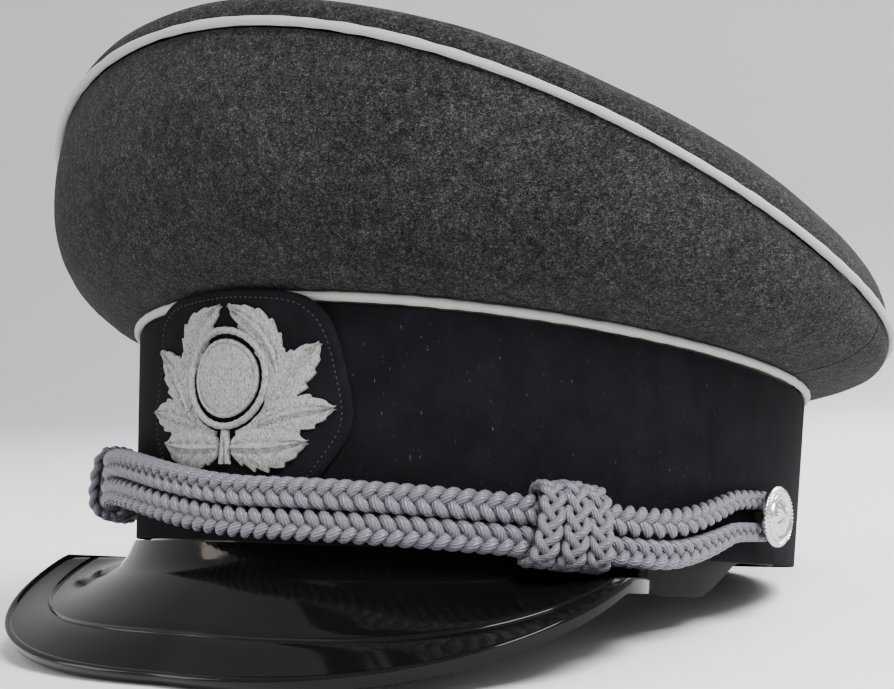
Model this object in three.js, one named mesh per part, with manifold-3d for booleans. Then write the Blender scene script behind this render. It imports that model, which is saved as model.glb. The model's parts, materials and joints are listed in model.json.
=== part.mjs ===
// A military officer's peaked cap, standing on a table on the tip of its visor and the rear of its band.
// Millimetres, +Z up, the front of the cap faces -Y and the wearer's left is +X.
// The cap is modelled with its head opening level (z = 0 is the band's lower edge) and its last lines tip
// the finished group back until the visor's tip and the rear edge stand on one plane.
import * as THREE from "three";
import { mergeVertices } from "three/addons/utils/BufferGeometryUtils.js";
import Module from "manifold-3d";

// ---------- driving dimensions ----------
const HEAD_HALF_WIDTH = 82.8; // inside of the sweatband, a 57 cm head
const HEAD_HALF_LENGTH = 97.8;
const GAP = 0.3; // clearance between pieces that touch
const WALL_GAP = 0.6; // clearance between the wall's layers

const SWEATBAND_THICK = 1.2;
const SWEATBAND_HEIGHT = 38;
const TEMPLE_FLAP = 9.5; // the sweatband hangs this much lower at the temples
const TEMPLE = [60, 72, 80, 93]; // degrees from the front: flap starts, is full, starts to end, has ended
const FLANGE_THICK = 1.4; // the visor's upstand, sewn behind the band
const FLANGE_HEIGHT = 10;
const STIFFENER_THICK = 1.4;
const BAND_THICK = 1.4;
const BAND_FLARE = Math.tan(THREE.MathUtils.degToRad(2.5)); // the wall leans out as it rises
const BAND_FRONT_HEIGHT = 59.5;
const BAND_SIDE_HEIGHT = 52;
const BAND_REAR_HEIGHT = 49;

const CROWN_HALF_WIDTH = 117.3;
const CROWN_FRONT_REACH = 128.5;
const CROWN_REAR_REACH = 115.5;
const CROWN_SQUARENESS = 2.1; // exponent of the rim's superellipse, 2 is a plain oval
const RIM_FRONT_HEIGHT = 122.3;
const RIM_REAR_HEIGHT = 60.9;
const RIM_SLOPE_POWER = 2.26; // how fast the rim falls away from its front peak
const CROWN_THICK = 1.8;
const CROWN_CENTRE_HEIGHT = 88;
const PUFF_FRONT = 14; // rise of the padded top over its rim
const PUFF_REAR = 24.5;
const PUFF_SHARPNESS = 11;
const SIDE_SEAM = 100; // degrees from the front, where front and rear panels meet
const PIPING_RADIUS = 1.15;

const VISOR_THICK = 1.8;
const VISOR_HALF_ANGLE = 62.5; // degrees of the band it spans each side
const VISOR_FRONT_REACH = 22.3; // how far the tip stands out in front of the band
const VISOR_SHOULDER = 11; // extra reach of the visor at its shoulders
const VISOR_DROP = 27.9;
const VISOR_DROP_END = 52.7; // degrees from the front where its edge would be level with its root
const VISOR_END_DROP = 1;
const VISOR_ROOT_DROP = 4.5; // it turns down at once below the band
const VISOR_LIP = 1.1; // thickness added at the outer edge

const CORD_HALF_HEIGHT = 3.6;
const CORD_HALF_DEPTH = 3.2;
const CORD_END_HALF_HEIGHT = 2.4; // the plait is pulled thin where it loops round the button
const CORD_END_HALF_DEPTH = 2;
const CORD_STAND_OFF = 7.6; // centre line to band
const CORD_FRONT_HEIGHT = 8;
const CORD_SLOPE = 0.06; // fall of the cord's plane from front to temples
const CORD_RIGHT_LIFT = 9; // the cord is pushed up this much on the wearer's right
const CORD_FLAT_END = 66; // degrees from the front up to which the cord lies in one plane

const SLIDE_ANGLE = 50.5; // degrees from the front
const SLIDE_HALF_LENGTH = 9;
const SLIDE_WALL = 1.9;
const SLIDE_CLEARANCE = 0.7;

const BUTTON_RADIUS = 8;
const BUTTON_HEIGHT = 12.5; // of its axis over the band's lower edge
const BUTTON_THICK = 1.4;
const BUTTON_DOME = 2.4;
const SHANK_RADIUS = 1.5;
const SHANK_CLEARANCE = 0.4;
const WASHER_RADIUS = 4.4;
const WASHER_THICK = 0.5;
const PRONG_THICK = 0.6;
const PRONG_WIDTH = 2;
const PRONG_REACH = 5.5;

const BADGE_THICK = 1.5;
const BADGE_BOTTOM = 6;
const BADGE_TOP = 61;
const BADGE_FOOT_HALF_WIDTH = 19;
const BADGE_WAIST_HALF_WIDTH = 34.5;
const BADGE_HEAD_HALF_WIDTH = 20;
const BADGE_WAIST_HEIGHT = 28;
const WREATH_CENTRE = 39;
const WREATH_THICK = 0.9;
const BADGE_OVERLAY_GAP = 0.5;
const ROUNDEL_RADIUS = 10.6;
const ROUNDEL_RING_WIDTH = 2;
const ROUNDEL_THICK = 1;

const LINING_THICK = 0.7;
const LINING_START = 22; // height of its lower edge, behind the sweatband
const LINING_OVER_BAND = 3.5; // how far over the band's top it turns outwards
const LINING_DEPTH = 6.5; // clear of the crown's outer face
const LINING_END = 0.8; // how far up the crown's side it goes before the lining's top begins
const LINING_DROP = 13;
const LINING_SPOKES = 40;
const SHIELD_SHARE = 0.55; // tip of the diamond, as a share of the way to the lining's edge
const SHIELD_THICK = 0.5;
const WIRE_RADIUS = 1;
const WIRE_SHARE = 0.955; // its place, as a share of the way from the crown's centre to the rim
const WIRE_GAP_HALF_ANGLE = 1.2; // degrees, the open joint at the rear
const FERRULE_RADIUS = 2;
const FERRULE_HALF_ANGLE = 4;
const WADDING_RADIUS = 3.6;
const WADDING_SHARE = 0.86;
const STAY_HALF_WIDTH = 7;
const STAY_THICK = 0.5;
const STAY_BOTTOM = 32;
const INTERLINING_THICK = 0.8;
const INTERLINING_HALF_ANGLE = 50;
const TAB_HALF_WIDTH = 9;
const TAB_THICK = 1;

// ---------- layers, counted outwards from the inside of the sweatband ----------
const FLANGE_IN = SWEATBAND_THICK + WALL_GAP;
const FLANGE_OUT = FLANGE_IN + FLANGE_THICK;
const STIFFENER_IN = FLANGE_OUT + WALL_GAP;
const STIFFENER_OUT = STIFFENER_IN + STIFFENER_THICK;
const BAND_IN = STIFFENER_OUT + WALL_GAP;
const BAND_OUT = BAND_IN + BAND_THICK;
const CORD_OFFSET = BAND_OUT + CORD_STAND_OFF;

const wasm = await Module();
wasm.setup();
const { degToRad, radToDeg, smoothstep, lerp } = THREE.MathUtils;
const point = (x, y, z) => new THREE.Vector3(x, y, z);

// ---------- building solids from sections ----------
// Joins sections (equal, closed loops of points) into one solid. A ring closes on itself; otherwise both
// ends are capped, which suits sections whose second half runs back along the first.
function loft(sections, ring = false) {
  const count = sections[0].length;
  const positions = sections.flat().flatMap((p) => [p.x, p.y, p.z]);
  const index = [];
  const at = (i, j) => (i % sections.length) * count + (j % count);
  for (let i = 0; i < sections.length - (ring ? 0 : 1); i++)
    for (let j = 0; j < count; j++)
      index.push(at(i, j), at(i + 1, j), at(i + 1, j + 1), at(i, j), at(i + 1, j + 1), at(i, j + 1));
  if (!ring) {
    const last = sections.length - 1;
    for (let j = 0; j + 1 < count / 2; j++) {
      const [a, b, c, d] = [j, j + 1, count - 2 - j, count - 1 - j];
      index.push(at(0, a), at(0, b), at(0, c), at(0, a), at(0, c), at(0, d));
      index.push(at(last, a), at(last, c), at(last, b), at(last, a), at(last, d), at(last, c));
    }
  }
  return facingOut(positions, index);
}

// A sheet with thickness over a grid: top(u, v) and bottom(u, v) give its two faces for u and v from 0 to 1.
function slab(columns, rows, top, bottom) {
  const sections = [];
  for (let i = 0; i <= columns; i++) {
    const over = [];
    const under = [];
    for (let j = 0; j <= rows; j++) {
      over.push(top(i / columns, j / rows));
      under.push(bottom(i / columns, j / rows));
    }
    sections.push([...over, ...under.reverse()]);
  }
  return loft(sections);
}

// A round sheet with thickness: top and bottom take an angle in degrees and a share of the radius.
function disc(spokes, rings, top, bottom) {
  const positions = [];
  const index = [];
  const put = (p) => positions.push(p.x, p.y, p.z) / 3 - 1;
  const faces = [top, bottom].map((face) => {
    const centre = put(face(0, 0));
    const loops = [];
    for (let r = 1; r <= rings; r++)
      loops.push(Array.from({ length: spokes }, (_, i) => put(face((i * 360) / spokes, r / rings))));
    return { centre, loops };
  });
  faces.forEach(({ centre, loops }, side) => {
    const push = (a, b, c) => (side ? index.push(a, c, b) : index.push(a, b, c));
    for (let i = 0; i < spokes; i++) {
      const k = (i + 1) % spokes;
      push(centre, loops[0][i], loops[0][k]);
      for (let r = 1; r < rings; r++) {
        push(loops[r - 1][i], loops[r][i], loops[r][k]);
        push(loops[r - 1][i], loops[r][k], loops[r - 1][k]);
      }
    }
  });
  const [over, under] = faces.map((f) => f.loops[rings - 1]);
  for (let i = 0; i < spokes; i++) {
    const k = (i + 1) % spokes;
    index.push(over[i], under[i], under[k], over[i], under[k], over[k]);
  }
  return facingOut(positions, index);
}

// A closed geometry with its faces turned outwards, whichever way they were listed.
function facingOut(positions, index) {
  const corner = (i) => point(...positions.slice(3 * i, 3 * i + 3));
  let volume = 0;
  for (let i = 0; i < index.length; i += 3)
    volume += corner(index[i]).dot(corner(index[i + 1]).cross(corner(index[i + 2])));
  if (volume < 0)
    for (let i = 0; i < index.length; i += 3) [index[i + 1], index[i + 2]] = [index[i + 2], index[i + 1]];
  return new THREE.BufferGeometry()
    .setAttribute("position", new THREE.Float32BufferAttribute(positions, 3))
    .setIndex(index);
}

// A round or oval section of some sides about a centre, in the plane of two unit directions.
function ovalSection(centre, across, up, halfAcross, halfUp, sides) {
  return Array.from({ length: sides }, (_, i) => {
    const a = ((i + 0.5) / sides) * 2 * Math.PI;
    const out = centre.clone().addScaledVector(across, halfAcross * Math.cos(a));
    return out.addScaledVector(up, halfUp * Math.sin(a));
  });
}

// ---------- booleans ----------
function toSolid(geometry) {
  const bare = (geometry.index ? geometry.toNonIndexed() : geometry.clone());
  ["normal", "uv"].forEach((name) => bare.deleteAttribute(name));
  const merged = mergeVertices(bare, 1e-4);
  const mesh = new wasm.Mesh({
    numProp: 3,
    vertProperties: new Float32Array(merged.attributes.position.array),
    triVerts: new Uint32Array(merged.index.array),
  });
  return new wasm.Manifold(mesh);
}

function toGeometry(solid) {
  const mesh = solid.getMesh();
  return new THREE.BufferGeometry()
    .setAttribute("position", new THREE.BufferAttribute(new Float32Array(mesh.vertProperties), 3))
    .setIndex(new THREE.BufferAttribute(new Uint32Array(mesh.triVerts), 1));
}

function cut(geometry, ...tools) {
  return toGeometry(tools.reduce((left, tool) => left.subtract(toSolid(tool)), toSolid(geometry)));
}

// ---------- the cap's curves; angles are degrees from the front towards the wearer's left ----------
const sine = (angle) => Math.sin(degToRad(angle));
const cosine = (angle) => Math.cos(degToRad(angle));

// The wall's oval at some layer and height.
function wall(angle, layer, z) {
  const out = layer + z * BAND_FLARE;
  return point((HEAD_HALF_WIDTH + out) * sine(angle), -(HEAD_HALF_LENGTH + out) * cosine(angle), z);
}

// The wall's level outward normal.
function wallNormal(angle) {
  const w = HEAD_HALF_WIDTH + BAND_OUT;
  const l = HEAD_HALF_LENGTH + BAND_OUT;
  return point(l * sine(angle), -w * cosine(angle), 0).normalize();
}

const BAND_MEAN = (BAND_FRONT_HEIGHT + BAND_REAR_HEIGHT + 2 * BAND_SIDE_HEIGHT) / 4;
const bandTop = (angle) =>
  BAND_MEAN +
  ((BAND_FRONT_HEIGHT - BAND_REAR_HEIGHT) / 2) * cosine(angle) +
  ((BAND_FRONT_HEIGHT + BAND_REAR_HEIGHT) / 2 - BAND_MEAN) * cosine(2 * angle);
const turned = (angle) => Math.abs(((angle + 540) % 360) - 180);
const flapBottom = (angle) =>
  -TEMPLE_FLAP *
  smoothstep(turned(angle), TEMPLE[0], TEMPLE[1]) *
  (1 - smoothstep(turned(angle), TEMPLE[2], TEMPLE[3]));

const rimHeight = (angle) =>
  RIM_REAR_HEIGHT + (RIM_FRONT_HEIGHT - RIM_REAR_HEIGHT) * ((1 + cosine(angle)) / 2) ** RIM_SLOPE_POWER;

// The crown's rim, where its top and sides meet, drawn in by some distance.
function rim(angle, inset = 0, above = 0) {
  const [s, c] = [sine(angle), cosine(angle)];
  const n = CROWN_SQUARENESS;
  const even = (Math.abs(s) ** n + Math.abs(c) ** n) ** (-1 / n);
  const reach = (c > 0 ? CROWN_FRONT_REACH : CROWN_REAR_REACH) - inset;
  return point((CROWN_HALF_WIDTH - inset) * s * even, -reach * c * even, rimHeight(angle) + above);
}

const CROWN_START = PIPING_RADIUS + GAP; // cloth stops this far from a piping's centre
const PANEL_BEND_UP = 0.25; // control point of the side panels' curve, as shares of their rise and reach
const panelBendOut = (angle) => 1 + 0.4 * ((1 + cosine(angle)) / 2) ** 2; // the front bulges past the rim

// A point on the side of the crown: t runs from the band (0) to the rim (1), depth is measured inwards.
function crownSide(angle, t, depth = 0) {
  const foot = wall(angle, BAND_OUT, bandTop(angle) + CROWN_START);
  const head = rim(angle, GAP, -CROWN_START);
  const bend = panelBendOut(angle);
  const out = 2 * t * (1 - t) * bend + t * t;
  const up = 2 * t * (1 - t) * PANEL_BEND_UP + t * t;
  const reach = Math.hypot(head.x - foot.x, head.y - foot.y);
  const rise = head.z - foot.z;
  const slopeOut = reach * (2 * (1 - 2 * t) * bend + 2 * t);
  const slopeUp = rise * (2 * (1 - 2 * t) * PANEL_BEND_UP + 2 * t);
  const length = Math.hypot(slopeOut, slopeUp);
  const inward = point(foot.x - head.x, foot.y - head.y, 0).normalize();
  return point(lerp(foot.x, head.x, out), lerp(foot.y, head.y, out), foot.z + rise * up)
    .addScaledVector(inward, (depth * slopeUp) / length)
    .add(point(0, 0, (depth * slopeOut) / length));
}

const puff = (angle, share) =>
  lerp((PUFF_FRONT + PUFF_REAR) / 2, lerp(PUFF_REAR, PUFF_FRONT, (1 + cosine(angle)) / 2), share) *
  Math.sqrt(1 - Math.min(1, share) ** PUFF_SHARPNESS);
const spread = (angle, share) => lerp(CROWN_CENTRE_HEIGHT, rimHeight(angle), share ** 1.5);

// The top of the crown, at a share of the way from its centre to the rim.
function crownTop(angle, share, depth = 0) {
  const edge = rim(angle, GAP + depth);
  const z = spread(angle, share) + CROWN_START + puff(angle, share) - (share < 1 ? depth : 0);
  return point(edge.x * share, edge.y * share, z);
}

// ---------- materials ----------
const cloth = (color, roughness = 0.95) => new THREE.MeshStandardMaterial({ color, roughness, metalness: 0 });
const metal = (color) => new THREE.MeshStandardMaterial({ color, roughness: 0.35, metalness: 1 });
const greyWool = cloth("#5b5d61");
const blackFelt = cloth("#0d0d10");
const whitePiping = cloth("#d9d7d2", 0.8);
const lacquer = new THREE.MeshStandardMaterial({ color: "#0a0a0a", roughness: 0.12, metalness: 0 });
const leather = new THREE.MeshStandardMaterial({ color: "#17140f", roughness: 0.6, metalness: 0 });
const satin = cloth("#8c7a55", 0.5);
const fibre = cloth("#6b5a45", 0.8);
const canvas = cloth("#b9ad93");
const wadding = cloth("#d8d2c4");
const clear = new THREE.MeshStandardMaterial({ color: "#e8e4d0", roughness: 0.1, metalness: 0 });
clear.transparent = true;
clear.opacity = 0.35;
const springSteel = metal("#8d9196");
const silver = metal("#c9c9c6");
const brass = metal("#b08d4a");
const cordSilver = cloth("#a9a8b3", 0.6);
const whiteThread = cloth("#d4d1cc", 0.7);

const cap = new THREE.Group();

function piece(name, geometry, material) {
  const mesh = new THREE.Mesh(geometry, material);
  mesh.name = name;
  cap.add(mesh);
  return mesh;
}

// Stations in degrees, both ends included.
const stations = (from, to, count) => Array.from({ length: count + 1 }, (_, i) => lerp(from, to, i / count));
const roundStations = (count) => stations(0, 360, count).slice(0, -1);

// ---------- band, stiffener, sweatband ----------
function wallRing(inner, outer, bottom, top, count) {
  return loft(
    roundStations(count).map((a) => [
      wall(a, outer, bottom(a)),
      wall(a, outer, top(a)),
      wall(a, inner, top(a)),
      wall(a, inner, bottom(a)),
    ]),
    true,
  );
}

// A round rod along X through the button's place on one side.
function shankHole(side, radius) {
  const rod = new THREE.CylinderGeometry(radius, radius, 30, 16).rotateZ(Math.PI / 2);
  return rod.translate(side * (HEAD_HALF_WIDTH + BAND_OUT), 0, BUTTON_HEIGHT);
}
const shankHoles = () => [-1, 1].map((side) => shankHole(side, SHANK_RADIUS + SHANK_CLEARANCE));

const band = wallRing(BAND_IN, BAND_OUT, () => 0, (a) => bandTop(a) - CROWN_START, 52);
piece("cap_band", cut(band, ...shankHoles()), blackFelt);
const stiffenerTop = (angle) => bandTop(angle) - 2 * CROWN_START;
const stiffener = wallRing(STIFFENER_IN, STIFFENER_OUT, () => STIFFENER_THICK, stiffenerTop, 44);
piece("band_stiffener", cut(stiffener, ...shankHoles()), fibre);
piece("sweatband", wallRing(0, SWEATBAND_THICK, flapBottom, () => SWEATBAND_HEIGHT, 48), leather);

function joinTab() {
  const half = radToDeg(TAB_HALF_WIDTH / HEAD_HALF_WIDTH);
  const face = (layer) => (u, v) => wall(180 + lerp(-half, half, u), layer, lerp(4, LINING_START - 2, v));
  return slab(3, 1, face(FLANGE_IN + TAB_THICK), face(FLANGE_IN));
}
piece("sweatband_join_tab", joinTab(), leather);

// ---------- piping ----------
const up = point(0, 0, 1);
function pipingRing(centre, count, sides) {
  return loft(
    roundStations(count).map((a) =>
      ovalSection(centre(a), wallNormal(a), up, PIPING_RADIUS, PIPING_RADIUS, sides),
    ),
    true,
  );
}
piece("band_piping", pipingRing((a) => wall(a, BAND_OUT + 0.4, bandTop(a)), 48, 6), whitePiping);
piece("crown_piping", pipingRing((a) => rim(a, -0.5), 48, 6), whitePiping);

// ---------- crown ----------
const SEAM_GAP = radToDeg(GAP / CROWN_HALF_WIDTH);
function sidePanel(from, to, count) {
  const rows = 5;
  return loft(
    stations(from + SEAM_GAP, to - SEAM_GAP, count).map((a) => {
      const outer = stations(0, 1, rows).map((t) => crownSide(a, t));
      const inner = stations(1, 0, rows).map((t) => crownSide(a, t, CROWN_THICK));
      return [...outer, ...inner];
    }),
  );
}
piece("crown_front_panel", sidePanel(-SIDE_SEAM, SIDE_SEAM, 32), greyWool);
piece("crown_rear_left_panel", sidePanel(SIDE_SEAM, 180, 13), greyWool);
piece("crown_rear_right_panel", sidePanel(180, 360 - SIDE_SEAM, 13), greyWool);

// Rings crowd towards the rim, where the padded edge turns over.
const crowd = (share) => 1 - (1 - share) ** 1.8;
const crownTopSheet = disc(
  40,
  5,
  (a, share) => crownTop(a, crowd(share)),
  (a, share) => crownTop(a, crowd(share), CROWN_THICK),
);
piece("crown_top_panel", crownTopSheet, greyWool);

// ---------- inside the crown ----------
// A round rod that runs under the top panel, a share of the way out from its centre.
function underTop(share, depth, radius, from, to, count, sides) {
  const ring = to - from === 360;
  const places = ring ? roundStations(count) : stations(from, to, count);
  return loft(
    places.map((a) => ovalSection(crownTop(a, share, depth), wallNormal(a), up, radius, radius, sides)),
    ring,
  );
}
const WIRE_DEPTH = CROWN_THICK + GAP + 1.2 * FERRULE_RADIUS;
const wireRod = (...rest) => underTop(WIRE_SHARE, WIRE_DEPTH, ...rest);
const wireEnd = 180 - WIRE_GAP_HALF_ANGLE;
piece("crown_wire", wireRod(WIRE_RADIUS, -wireEnd, wireEnd, 40, 6), springSteel);
const ferrule = (radius, half) => wireRod(radius, 180 - half, 180 + half, 4, 12);
const ferruleBore = ferrule(WIRE_RADIUS + GAP, 2 * FERRULE_HALF_ANGLE);
piece("wire_ferrule", cut(ferrule(FERRULE_RADIUS, FERRULE_HALF_ANGLE), ferruleBore), brass);
const WADDING_DEPTH = CROWN_THICK + 2 * GAP + 1.4 * WADDING_RADIUS;
piece("rim_wadding", underTop(WADDING_SHARE, WADDING_DEPTH, WADDING_RADIUS, 0, 360, 40, 6), wadding);

const interliningFace = (depth) => (u, v) =>
  crownSide(lerp(-INTERLINING_HALF_ANGLE, INTERLINING_HALF_ANGLE, u), lerp(0.06, 0.94, v), depth);
const INTERLINING_IN = CROWN_THICK + 2 * GAP;
const INTERLINING_OUT = INTERLINING_IN + INTERLINING_THICK;
const interlining = slab(16, 5, interliningFace(INTERLINING_IN), interliningFace(INTERLINING_OUT));
piece("front_interlining", interlining, canvas);

// A flat spring that stands behind the front of the crown and keeps its peak up.
function frontStay() {
  const depth = INTERLINING_OUT + 2 * GAP;
  const layer = STIFFENER_IN - GAP - STAY_THICK;
  const lower = [STAY_BOTTOM, bandTop(0) - 6, bandTop(0) + CROWN_START + 1];
  const [w, l] = [HEAD_HALF_WIDTH + STIFFENER_IN, HEAD_HALF_LENGTH + STIFFENER_IN];
  const bow = (STAY_HALF_WIDTH ** 2 * l) / (2 * w ** 2); // how far the wall curves behind its flat edges
  const side = (inward) => [
    ...lower.map((z) => wall(0, layer + STAY_THICK - inward, z)),
    ...[0.15, 0.3, 0.5, 0.7, 0.9].map((t) => crownSide(0, t, depth + inward)),
  ];
  const line = [...side(0), ...side(STAY_THICK).reverse()];
  return loft([-STAY_HALF_WIDTH, STAY_HALF_WIDTH].map((x) => line.map((p) => point(x, p.y + bow, p.z))));
}
piece("front_stay", frontStay(), springSteel);

// ---------- lining ----------
// The lining's side climbs the wall from behind the sweatband, then follows the crown's side.
function liningSide(angle, t, depth) {
  const layer = FLANGE_IN + LINING_THICK - depth;
  if (t <= 0) return wall(angle, layer, t < 0 ? LINING_START : bandTop(angle) + LINING_OVER_BAND);
  return crownSide(angle, t, LINING_DEPTH + depth);
}
const liningRows = [-1, 0, 0.2, 0.5, LINING_END];
const liningWall = loft(
  roundStations(LINING_SPOKES).map((a) => [
    ...liningRows.map((t) => liningSide(a, t, 0)),
    ...[...liningRows].reverse().map((t) => liningSide(a, t, LINING_THICK)),
  ]),
  true,
);
piece("lining_side", liningWall, satin);

function liningTop(angle, share, below) {
  const edge = crownSide(angle, LINING_END, LINING_DEPTH + LINING_THICK + 5 * GAP);
  const z = lerp(CROWN_CENTRE_HEIGHT - LINING_DROP, edge.z, share ** 1.5);
  return point(edge.x * share, edge.y * share, z - below);
}
const liningCap = disc(
  LINING_SPOKES,
  4,
  (a, share) => liningTop(a, share, 0),
  (a, share) => liningTop(a, share, LINING_THICK),
);
piece("lining_top", liningCap, satin);

// The clear diamond under the lining.
function sweatShield() {
  const reach = (a, share) => (share * SHIELD_SHARE) / (Math.abs(sine(a)) + Math.abs(cosine(a)));
  const face = (below) => (a, share) => liningTop(a, reach(a, share), below);
  return disc(LINING_SPOKES, 2, face(LINING_THICK + 3 * GAP), face(LINING_THICK + 3 * GAP + SHIELD_THICK));
}
piece("sweat_shield", sweatShield(), clear);

// ---------- visor ----------
// The band's oval at a true (polar) angle and some layer.
function polarWall(angle, layer, z) {
  const [w, l] = [HEAD_HALF_WIDTH + layer, HEAD_HALF_LENGTH + layer];
  const reach = 1 / Math.hypot(sine(angle) / w, cosine(angle) / l);
  return point(reach * sine(angle), -reach * cosine(angle), z);
}
const visorShare = (angle) => Math.abs(angle) / VISOR_HALF_ANGLE;
const visorReach = (angle) =>
  Math.max(
    3,
    VISOR_FRONT_REACH * (1 - visorShare(angle) ** 8) +
      VISOR_SHOULDER * Math.sin(Math.PI * visorShare(angle) ** 1.3),
  );
const visorFall = (angle) =>
  Math.max(VISOR_END_DROP, VISOR_DROP * (1 - Math.abs(angle / VISOR_DROP_END) ** 2.65));

function visorSection(angle) {
  const root = -1.5 * GAP;
  const bend = lerp(1.15, 0.85, smoothstep(visorShare(angle), 0, 0.7));
  const steps = [0, 0.08, 0.3, 0.55, 0.8, 1];
  const top = (s) => {
    const z = root - VISOR_ROOT_DROP * Math.min(1, s / 0.08) - visorFall(angle) * s ** bend;
    return polarWall(angle, BAND_OUT + 0.4 + (visorReach(angle) - 0.4) * s, z);
  };
  const slopes = steps.map((s) => {
    const [a, b] = [top(Math.max(0, s - 0.02)), top(Math.min(1, s + 0.02))];
    return b.sub(a).normalize();
  });
  const outer = steps.map(top);
  const away = point(sine(angle), -cosine(angle), 0);
  const inner = outer.map((p, i) => {
    const slope = slopes[i];
    const level = slope.dot(away);
    const down = point(0, 0, -Math.abs(level)).addScaledVector(away, slope.z);
    const thick = i === steps.length - 1 ? VISOR_THICK + VISOR_LIP : VISOR_THICK;
    return p.clone().addScaledVector(down.normalize(), thick);
  });
  const upstand = (layer, z) => polarWall(angle, layer + Math.max(0, z) * BAND_FLARE, z);
  return [
    upstand(FLANGE_OUT, FLANGE_HEIGHT),
    upstand(FLANGE_OUT, root),
    ...outer,
    ...inner.reverse(),
    upstand(FLANGE_IN, root - VISOR_THICK),
    upstand(FLANGE_IN, FLANGE_HEIGHT),
  ];
}
const visorStations = stations(-1, 1, 26).map((u) => VISOR_HALF_ANGLE * Math.sin((u * Math.PI) / 2) * 0.995);
piece("visor", loft(visorStations.map(visorSection)), lacquer);

// ---------- side buttons ----------
const WALL_AT_BUTTON = HEAD_HALF_WIDTH + BUTTON_HEIGHT * BAND_FLARE;
const LOOP_OFFSET = GAP + 0.4 + CORD_END_HALF_DEPTH; // loop's centre to band
const BUTTON_BACK = BAND_OUT + LOOP_OFFSET + CORD_END_HALF_DEPTH + 0.4;

function buttonShell() {
  const profile = [
    [0, 0],
    [BUTTON_RADIUS - 0.6, 0],
    [BUTTON_RADIUS, 0.5],
    [BUTTON_RADIUS, BUTTON_THICK],
    [BUTTON_RADIUS - 0.9, BUTTON_THICK + 0.35],
    [BUTTON_RADIUS - 1.8, BUTTON_THICK],
    [BUTTON_RADIUS * 0.5, BUTTON_THICK + BUTTON_DOME * 0.55],
    [0, BUTTON_THICK + BUTTON_DOME * 0.75],
  ].map(([r, z]) => new THREE.Vector2(r, z));
  return new THREE.LatheGeometry(profile, 20);
}

// Two flat legs on a round post: they pass the band and fold up and down behind a washer.
function buttonProngs() {
  const reach = BUTTON_BACK - GAP;
  const fold = STIFFENER_IN - WALL_GAP - WASHER_THICK - GAP;
  const half = SHANK_RADIUS * 0.7;
  const outline = new THREE.Shape();
  outline.moveTo(reach, -half);
  outline.lineTo(reach, half);
  outline.lineTo(fold, half);
  outline.lineTo(fold, PRONG_REACH);
  outline.lineTo(fold - PRONG_THICK, PRONG_REACH);
  outline.lineTo(fold - PRONG_THICK, -PRONG_REACH);
  outline.lineTo(fold, -PRONG_REACH);
  outline.lineTo(fold, -half);
  const solid = new THREE.ExtrudeGeometry(outline, { depth: PRONG_WIDTH, bevelEnabled: false });
  return solid.translate(0, 0, -PRONG_WIDTH / 2).rotateX(Math.PI / 2);
}

function washer() {
  const ring = [
    [SHANK_RADIUS + SHANK_CLEARANCE, 0],
    [WASHER_RADIUS, 0],
    [WASHER_RADIUS, WASHER_THICK],
    [SHANK_RADIUS + SHANK_CLEARANCE, WASHER_THICK],
    [SHANK_RADIUS + SHANK_CLEARANCE, 0],
  ].map(([r, z]) => new THREE.Vector2(r, z));
  return new THREE.LatheGeometry(ring, 12);
}

for (const [side, label] of [
  [1, "left"],
  [-1, "right"],
]) {
  const place = (mesh, along, turn) => {
    mesh.position.set(side * (WALL_AT_BUTTON + along), 0, BUTTON_HEIGHT);
    mesh.rotation.z = turn;
  };
  const quarter = (-side * Math.PI) / 2;
  place(piece(`side_button_${label}`, buttonShell(), silver), BUTTON_BACK, quarter);
  place(piece(`button_washer_${label}`, washer(), brass), STIFFENER_IN - WALL_GAP - WASHER_THICK, quarter);
  place(piece(`button_prongs_${label}`, buttonProngs(), brass), 0, side > 0 ? 0 : Math.PI);
}

// ---------- chin cord ----------
const cordPlane = (angle) => {
  const y = -(HEAD_HALF_LENGTH + CORD_OFFSET) * cosine(angle);
  const lift = CORD_RIGHT_LIFT * smoothstep(-angle, -8, 34);
  return CORD_FRONT_HEIGHT + lift - CORD_SLOPE * (y + HEAD_HALF_LENGTH + CORD_OFFSET);
};
const LOOP_RADIUS = SHANK_RADIUS + GAP + CORD_END_HALF_HEIGHT;
const LOOP_START = 86; // degrees from the front where the strand turns into its loop
const STRAND_SPACING = CORD_HALF_HEIGHT + GAP / 2;

// One strand, level +1 or -1, from the middle of the front to the loop behind the button on one side.
function strandHalf(level, side) {
  const line = [];
  for (const a of [...stations(0, CORD_FLAT_END, 12), 70, 74, 78, 82]) {
    const share = smoothstep(a, CORD_FLAT_END - 4, LOOP_START);
    const middle = lerp(cordPlane(side * a), BUTTON_HEIGHT, share);
    const z = middle + level * lerp(STRAND_SPACING, LOOP_RADIUS, share);
    const offset = lerp(CORD_STAND_OFF, LOOP_OFFSET, smoothstep(a, CORD_FLAT_END, LOOP_START));
    line.push({ angle: side * a, z, offset, share });
  }
  for (const b of [90, 68, 46, 26, 14]) {
    const y = LOOP_RADIUS * cosine(b);
    const angle = radToDeg(Math.acos(-y / (HEAD_HALF_LENGTH + BAND_OUT)));
    const z = BUTTON_HEIGHT + level * LOOP_RADIUS * sine(b);
    line.push({ angle: side * angle, z, offset: LOOP_OFFSET, share: 1 });
  }
  return line;
}

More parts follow.
